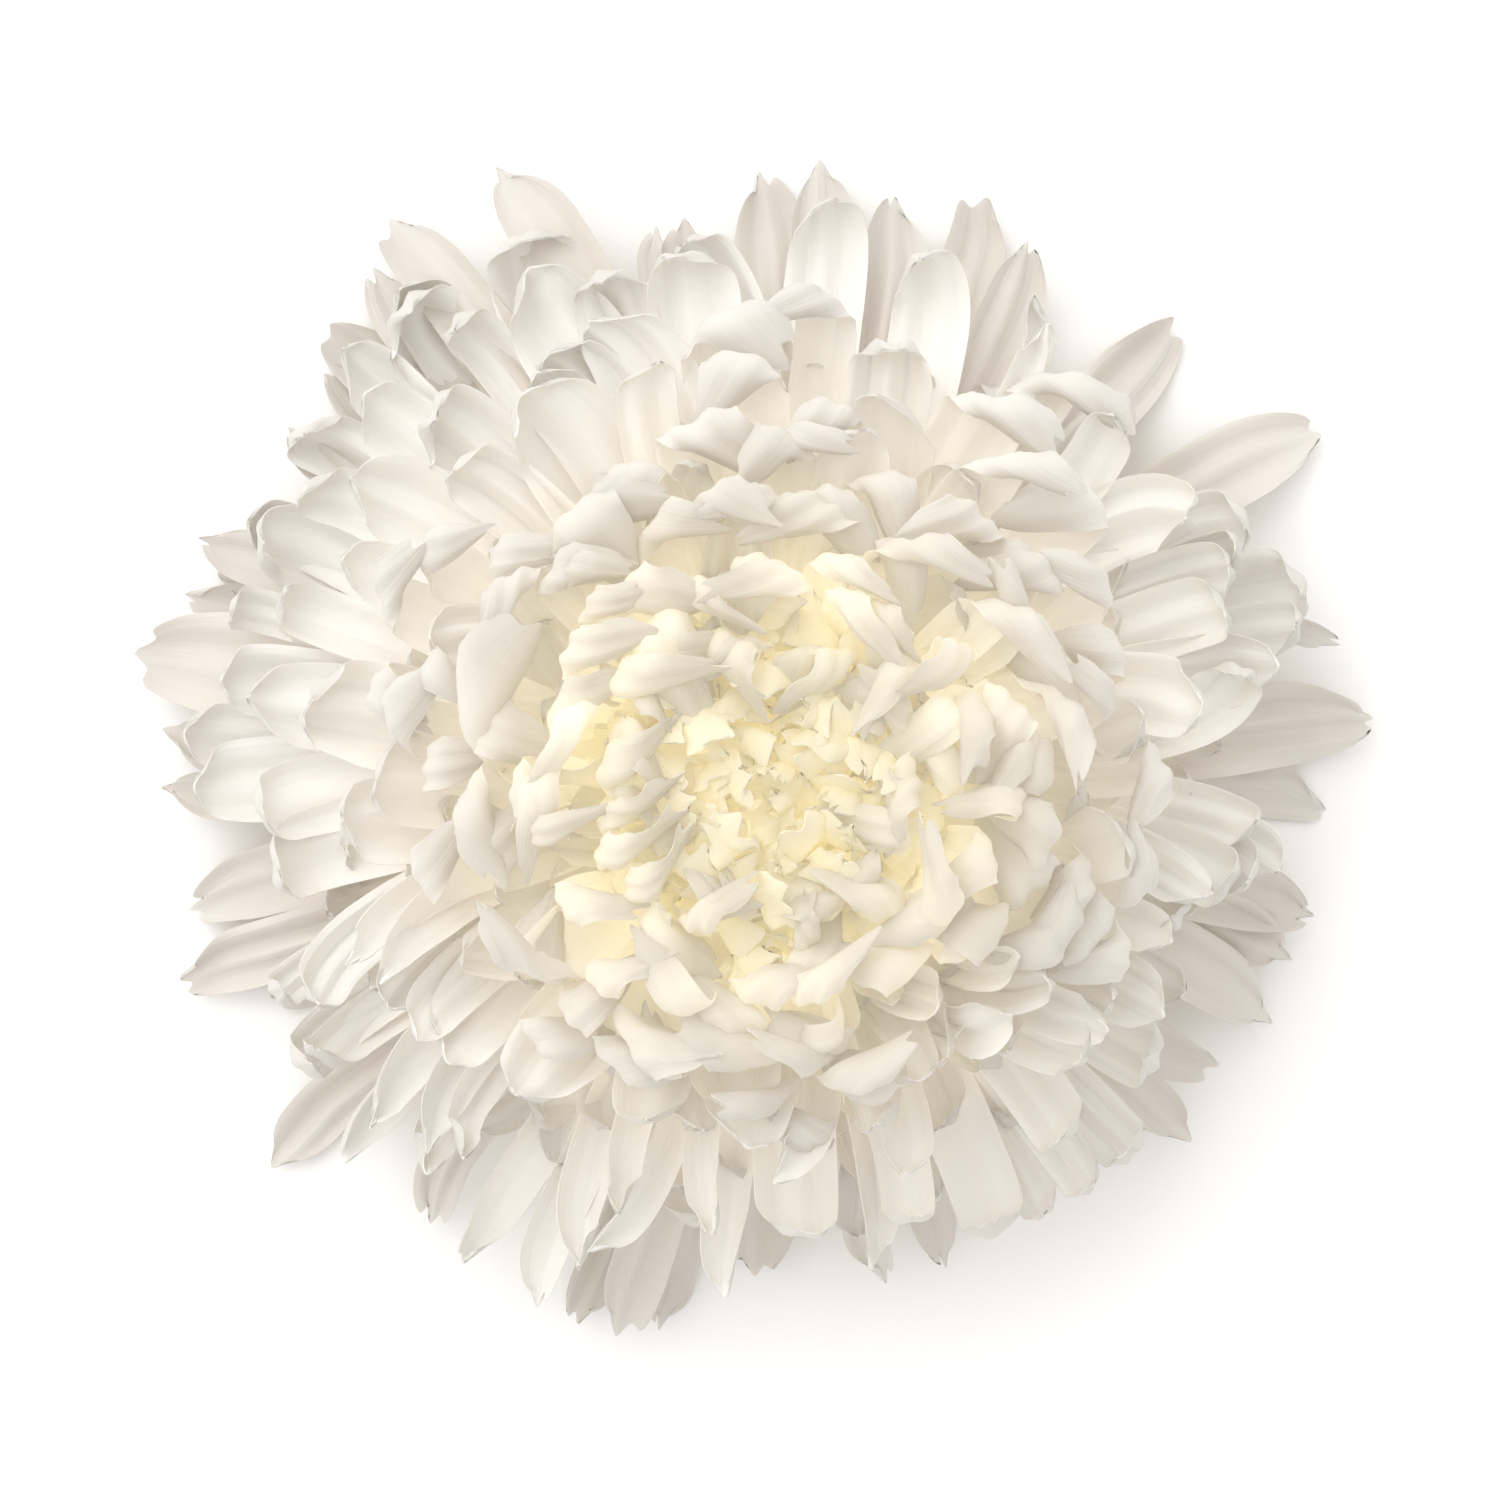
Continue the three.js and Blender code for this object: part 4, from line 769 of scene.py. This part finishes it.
# the heart's small crumpled florets, in an upper and a lower storey
storeys = [
    {"count": 70, "height": 51.5, "width": 7.6, "reach": 15},
    {"count": 90, "height": 46.5, "width": 8.8, "reach": 22},
]
heart = {"footShare": 0.62, "footHeight": 42, "slope": 0.12, "spread": 1.5, "startShare": 0.4, "kneeRun": 4,
         "turn": 1.3, "rise": (70, 14), "width": (1, 0.3), "slant": 0.7, "fold": (80, 35), "flap": (3.6, 1.5),
         "tipLength": 4.5, "thickness": 0.36}
form = petalForms["floret"]
petals = []
for storey in storeys:
    for i in range(storey["count"]):
        number += 1
        reach = storey["reach"] * sqrt((i + 1.5) / (storey["count"] + 1))
        azimuth = i * goldenAngle + storey["height"]
        outward = toward(azimuth)
        foot = axis + outward * reach * heart["footShare"] + up * heart["footHeight"]
        height = storey["height"] + heart["slope"] * reach + heart["spread"] * draw(number, "place")
        knee = axis + outward * reach + up * height
        facing = toward(azimuth + heart["turn"] * draw(number, "tip"))
        rise = radians(varied(heart["rise"], number, "stand"))
        start = mix(foot, knee, heart["startShare"]) + outward
        body = bezier(foot, start, knee - sloping(facing, rise) * heart["kneeRun"], knee)
        slant = heart["slant"] * draw(number, "slant")
        width = storey["width"] * varied(heart["width"], number, "width")
        fold = {"before": width / 2 * tan(abs(slant)), "radius": form["foldRadius"], "slant": slant,
                "angle": radians(varied(heart["fold"], number, "fold")),
                "flap": varied(heart["flap"], number, "flap"), "tipLength": heart["tipLength"]}
        path = foldedPath(body, outward, facing, fold)
        petals.append(bendCopy(smallBlade, path, width, form, number, heart["thickness"]))
heartPiece = joined(petals, "heart_petals", heartCream)


def roundPiece(name, profile, sides):
    # a closed round body, its rings set on a profile of radius and height
    bpy.ops.object.select_all(action="DESELECT")
    bpy.ops.mesh.primitive_uv_sphere_add(segments=sides, ring_count=len(profile) - 1, radius=1)
    piece = bpy.context.object
    piece.name = name
    for vertex in piece.data.vertices:
        ring = round((1 - acos(max(-1, min(1, vertex.co.z))) / pi) * (len(profile) - 1))
        radius, height = profile[ring]
        azimuth = atan2(vertex.co.y, vertex.co.x)
        vertex.co = (radius * cos(azimuth), radius * sin(azimuth), height)
    bpy.ops.object.shade_smooth()
    print(name, "faces", len(piece.data.polygons))
    return piece


# the domed end of the stem that the florets grow from
dome = {"radius": 23, "height": 12, "depth": 2, "base": 34, "rings": 20, "sides": 48, "roughness": 0.6,
        "spots": 260, "colours": [(0.3, (0.3, 0.36, 0.08)), (0.7, (0.8, 0.76, 0.4))]}
domeProfile = []
for ring in range(dome["rings"] + 1):
    turn = pi * ring / dome["rings"] - pi / 2
    stretch = dome["height"] if turn > 0 else dome["depth"]
    domeProfile.append((dome["radius"] * cos(turn), dome["base"] + sin(turn) * stretch))
cushion = roundPiece("receptacle_dome", domeProfile, dome["sides"])
material, tree, shader = newMaterial("receptacleGreen", dome["roughness"])
feed(tree, shader, {"Base Color": ramped(tree, noise(tree, placeOn(tree), dome["spots"]), dome["colours"])})
cushion.data.materials.append(material)

# the stem: a cut face with its pith, a ridged green skin, and the flare under the head
stalk = {
    "cut": [(0, 2.12), (0.7, 2.1), (1.3, 2.05), (1.9, 2.02), (2.5, 2), (2.85, 2.02), (3.02, 2.1), (3.1, 2.3)],
    "side": [(3.12, 3), (3.2, 8), (3.7, 13.5), (5.2, 17), (9, 20.4), (10.5, 22.4), (10.5, 24), (8, 26.6)],
    "top": [(6, 27.6), (3, 28.1), (0, 28.2)], "sides": 120, "rings": 44,
    "ridges": 6, "ridgeDepth": 0.22, "ridgesEnd": (12, 15), "ridgeRadius": 3, "leastRadius": 0.5,
    "fineRidges": 34, "fineDepth": 0.05, "fineEnd": 0.3, "sway": 0.6, "swayTurn": 0.7,
    "lean": 0.15, "leanTurn": 0.4,
}
stemLook = {
    "roughness": 0.55, "fuzz": 0.25, "streaks": (1500, 1500, 120), "streakDetail": 4, "grain": (0.35, 0.0002),
    "skin": [(0.3, (0.13, 0.2, 0.055)), (0.55, (0.24, 0.33, 0.1)), (0.75, (0.4, 0.46, 0.19))],
    "pith": [(0, (0.86, 0.84, 0.66)), (0.55, (0.78, 0.78, 0.52)), (0.72, (0.45, 0.52, 0.22)),
             (0.85, (0.6, 0.62, 0.34)), (0.97, (0.24, 0.32, 0.11))],
    "cutRadius": 0.0031, "cutHeights": (0.00205, 0.00235),  # metres
}
radii, heights = zip(*stalk["side"])
stemProfile = list(stalk["cut"])
for z in np.linspace(heights[0], heights[-1], stalk["rings"]):
    stemProfile.append((float(np.interp(z, heights, radii)), float(z)))
stem = roundPiece("stem_skin", stemProfile + stalk["top"], stalk["sides"])
for vertex in stem.data.vertices:
    x, y, z = vertex.co
    azimuth = atan2(y, x)
    fade = 1 - float(ease(*stalk["ridgesEnd"], z))
    fineDepth = stalk["fineDepth"] * mix(stalk["fineEnd"], 1, fade)
    fineTurn = stalk["fineRidges"] * azimuth + stalk["sway"] * sin(z * stalk["swayTurn"])
    ridge = stalk["ridgeDepth"] * fade * cos(stalk["ridges"] * azimuth)
    ridge += fineDepth * cos(fineTurn)
    radius = hypot(x, y)
    grown = 1 + ridge * min(radius / stalk["ridgeRadius"], 1) / max(radius, stalk["leastRadius"])
    lean = stalk["lean"] * sin(z * stalk["leanTurn"]) * fade
    vertex.co = (x * grown + lean, y * grown, z)
material, tree, shader = newMaterial("stemGreen", stemLook["roughness"])
place = placeOn(tree)
height = add(tree, "SeparateXYZ", {"Vector": place}).outputs["Z"]
aboveCut = ranged(tree, height, *stemLook["cutHeights"])
pith = ramped(tree, ranged(tree, awayFromAxis(tree), 0, stemLook["cutRadius"]), stemLook["pith"])
streaks = noise(tree, mapped(tree, place, stemLook["streaks"]), 1, stemLook["streakDetail"])
coloured = blended(tree, "MIX", aboveCut, pith, ramped(tree, streaks, stemLook["skin"]))
feed(tree, shader, {"Base Color": coloured, "Sheen Weight": stemLook["fuzz"],
                    "Normal": bumped(tree, streaks, *stemLook["grain"])})
stem.data.materials.append(material)
for piece in (cushion, stem):
    for vertex in piece.data.vertices:
        vertex.co = ((heartX + vertex.co.x) * mm, (heartY + vertex.co.y) * mm, vertex.co.z * mm)

# the cup of overlapping bracts, each green along its middle and papery along its edges
bractRows = [
    {"count": 9, "length": 7.4, "width": 4.4, "start": 5.2, "height": 15.3, "rise": 44, "end": (30, 8)},
    {"count": 11, "length": 8.2, "width": 5, "start": 6.4, "height": 16.6, "rise": 36, "end": (20, 8)},
    {"count": 13, "length": 8.8, "width": 5.2, "start": 8.2, "height": 18.1, "rise": 30, "end": (8, 8)},
    {"count": 14, "length": 8.8, "width": 5.4, "start": 10, "height": 19.8, "rise": 22, "end": (0, 8)},
]
bractForm = {"cup": (0.7, 0.6, 0.5), "vee": 0, "tipPower": 1.6, "tipEdge": 0.8, "endWidth": 0.16,
             "groove": 0.08, "ruffle": 0.3, "teeth": 0.12, "point": 0.3, "aside": 0.2, "sway": 0.04,
             "roll": 5}
bract = {"stagger": 0.31, "aside": 0.08, "footBack": 1.2, "footDown": 0.6, "startShare": 0.7,
         "bendShare": 0.1, "slant": 0.2, "tipShare": 0.7, "thickness": 0.5,
         "fold": {"before": 0.2, "radius": 3, "angle": 0.15, "flap": 0.2}}
edge, pale, green = (0.62, 0.52, 0.34), (0.5, 0.52, 0.24), (0.19, 0.28, 0.085)
bractLook = {
    "across": [(0.04, edge), (0.16, pale), (0.32, green), (0.5, (0.3, 0.38, 0.14)), (0.68, green),
               (0.84, pale), (0.96, edge)],
    "along": [(0.6, (1, 1, 1)), (0.88, (0.95, 0.86, 0.66)), (1, (0.72, 0.52, 0.34))],
    "shades": [(0.3, (0.75, 0.78, 0.72)), (0.7, (1, 1, 1))], "mottle": 900, "grain": (0.3, 0.0002),
    "roughness": 0.6,
}
petals = []
for row in bractRows:
    for i in range(row["count"]):
        number += 1
        turn = (i + bract["stagger"] * len(petals)) / row["count"]
        outward = toward(2 * pi * turn + bract["aside"] * draw(number, "place"))
        foot = axis + outward * (row["start"] - bract["footBack"]) + up * (row["height"] - bract["footDown"])
        knee = foot + sloping(outward, radians(row["rise"])) * row["length"] / 2
        tip = knee + sloping(outward, radians(varied(row["end"], number, "fold"))) * row["length"] / 2
        body = bezier(foot, mix(foot, knee, bract["startShare"]), mix(knee, tip, bract["bendShare"]), tip)
        fold = {**bract["fold"], "slant": bract["slant"] * draw(number, "slant"),
                "tipLength": row["length"] * bract["tipShare"]}
        path = foldedPath(body, outward, outward, fold)
        petals.append(bendCopy(smallBlade, path, row["width"], bractForm, number, bract["thickness"]))
material, tree, shader = newMaterial("bractGreen", bractLook["roughness"])
parts = add(tree, "SeparateXYZ", {"Vector": add(tree, "UVMap", {}).outputs["UV"]})
mottle = noise(tree, placeOn(tree), bractLook["mottle"])
crossing = ramped(tree, parts.outputs["X"], bractLook["across"])
coloured = blended(tree, "MULTIPLY", 1, crossing, ramped(tree, parts.outputs["Y"], bractLook["along"]))
coloured = blended(tree, "MULTIPLY", 1, coloured, ramped(tree, mottle, bractLook["shades"]))
feed(tree, shader, {"Base Color": coloured, "Normal": bumped(tree, mottle, *bractLook["grain"])})
bractPiece = joined(petals, "calyx_bracts", material)
replacing = ((heartPiece, "heart_florets"), (cushion, "heart_florets"), (stem, "stem"), (bractPiece, "calyx"))
for piece, node in replacing:
    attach(piece, "root")
    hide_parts(node)

for strip in (blade, smallBlade):
    bpy.data.objects.remove(strip["object"])

# the floor
ground = {"size": 6, "height": -0.0002, "colour": (0.965, 0.965, 0.965, 1), "roughness": 0.9}
bpy.ops.object.select_all(action="DESELECT")
bpy.ops.mesh.primitive_plane_add(size=ground["size"], location=(0, 0, ground["height"]))
floor = bpy.context.object
floor.name = "floor"
paper, tree, shader = newMaterial("paleFloor", ground["roughness"])
feed(tree, shader, {"Base Color": ground["colour"]})
floor.data.materials.append(paper)

# a bright room all round, lighter toward one side, with a large soft window high on that side
studio = {"sky": 1.09, "slope": 0.42, "window": 2, "windowEdge": 10, "windowAt": Vector((-0.6, 0.7, 1.1)),
          "colour": (1, 0.99, 0.972, 1)}
world = bpy.data.worlds.new("studio")
world.use_nodes = True
world.cycles.sampling_method = "NONE"
tree = world.node_tree
direction = add(tree, "TexCoord", {}).outputs["Generated"]


def shareToward(target):
    # how much a direction points to the target, from -1 to 1
    return add(tree, "VectorMath", {0: direction, 1: target}, operation="DOT_PRODUCT").outputs["Value"]


toWindow = studio["windowAt"].normalized()
sideways = shareToward(toWindow * Vector((1, 1, 0)))
room = computed(tree, "MULTIPLY_ADD", sideways, studio["slope"], studio["sky"])
facing = computed(tree, "MAXIMUM", shareToward(toWindow), 0)
window = computed(tree, "MULTIPLY", computed(tree, "POWER", facing, studio["windowEdge"]), studio["window"])
strength = computed(tree, "ADD", room, window)
feed(tree, tree.nodes["Background"], {"Color": studio["colour"], "Strength": strength})
bpy.context.scene.world = world

# the camera looks straight down, and the light goes on through many petals
view = {"frameWidth": 0.18225, "planeHeight": 0.012, "distance": 2.6, "middle": (-0.00079, -0.00049),
        "sensor": 36, "bounces": 10}
camera = bpy.data.cameras.new("camera")
camera.sensor_width = view["sensor"]
camera.lens = view["sensor"] * view["distance"] / view["frameWidth"]
cameraObject = bpy.data.objects.new("camera", camera)
cameraObject.location = (*view["middle"], view["planeHeight"] + view["distance"])
bpy.context.collection.objects.link(cameraObject)
bpy.context.scene.camera = cameraObject
lightPaths = bpy.context.scene.cycles
lightPaths.max_bounces = view["bounces"]
lightPaths.diffuse_bounces = view["bounces"]
lightPaths.transmission_bounces = view["bounces"]
bpy.context.scene.view_settings.view_transform = "Standard"
print("camera lens", camera.lens)
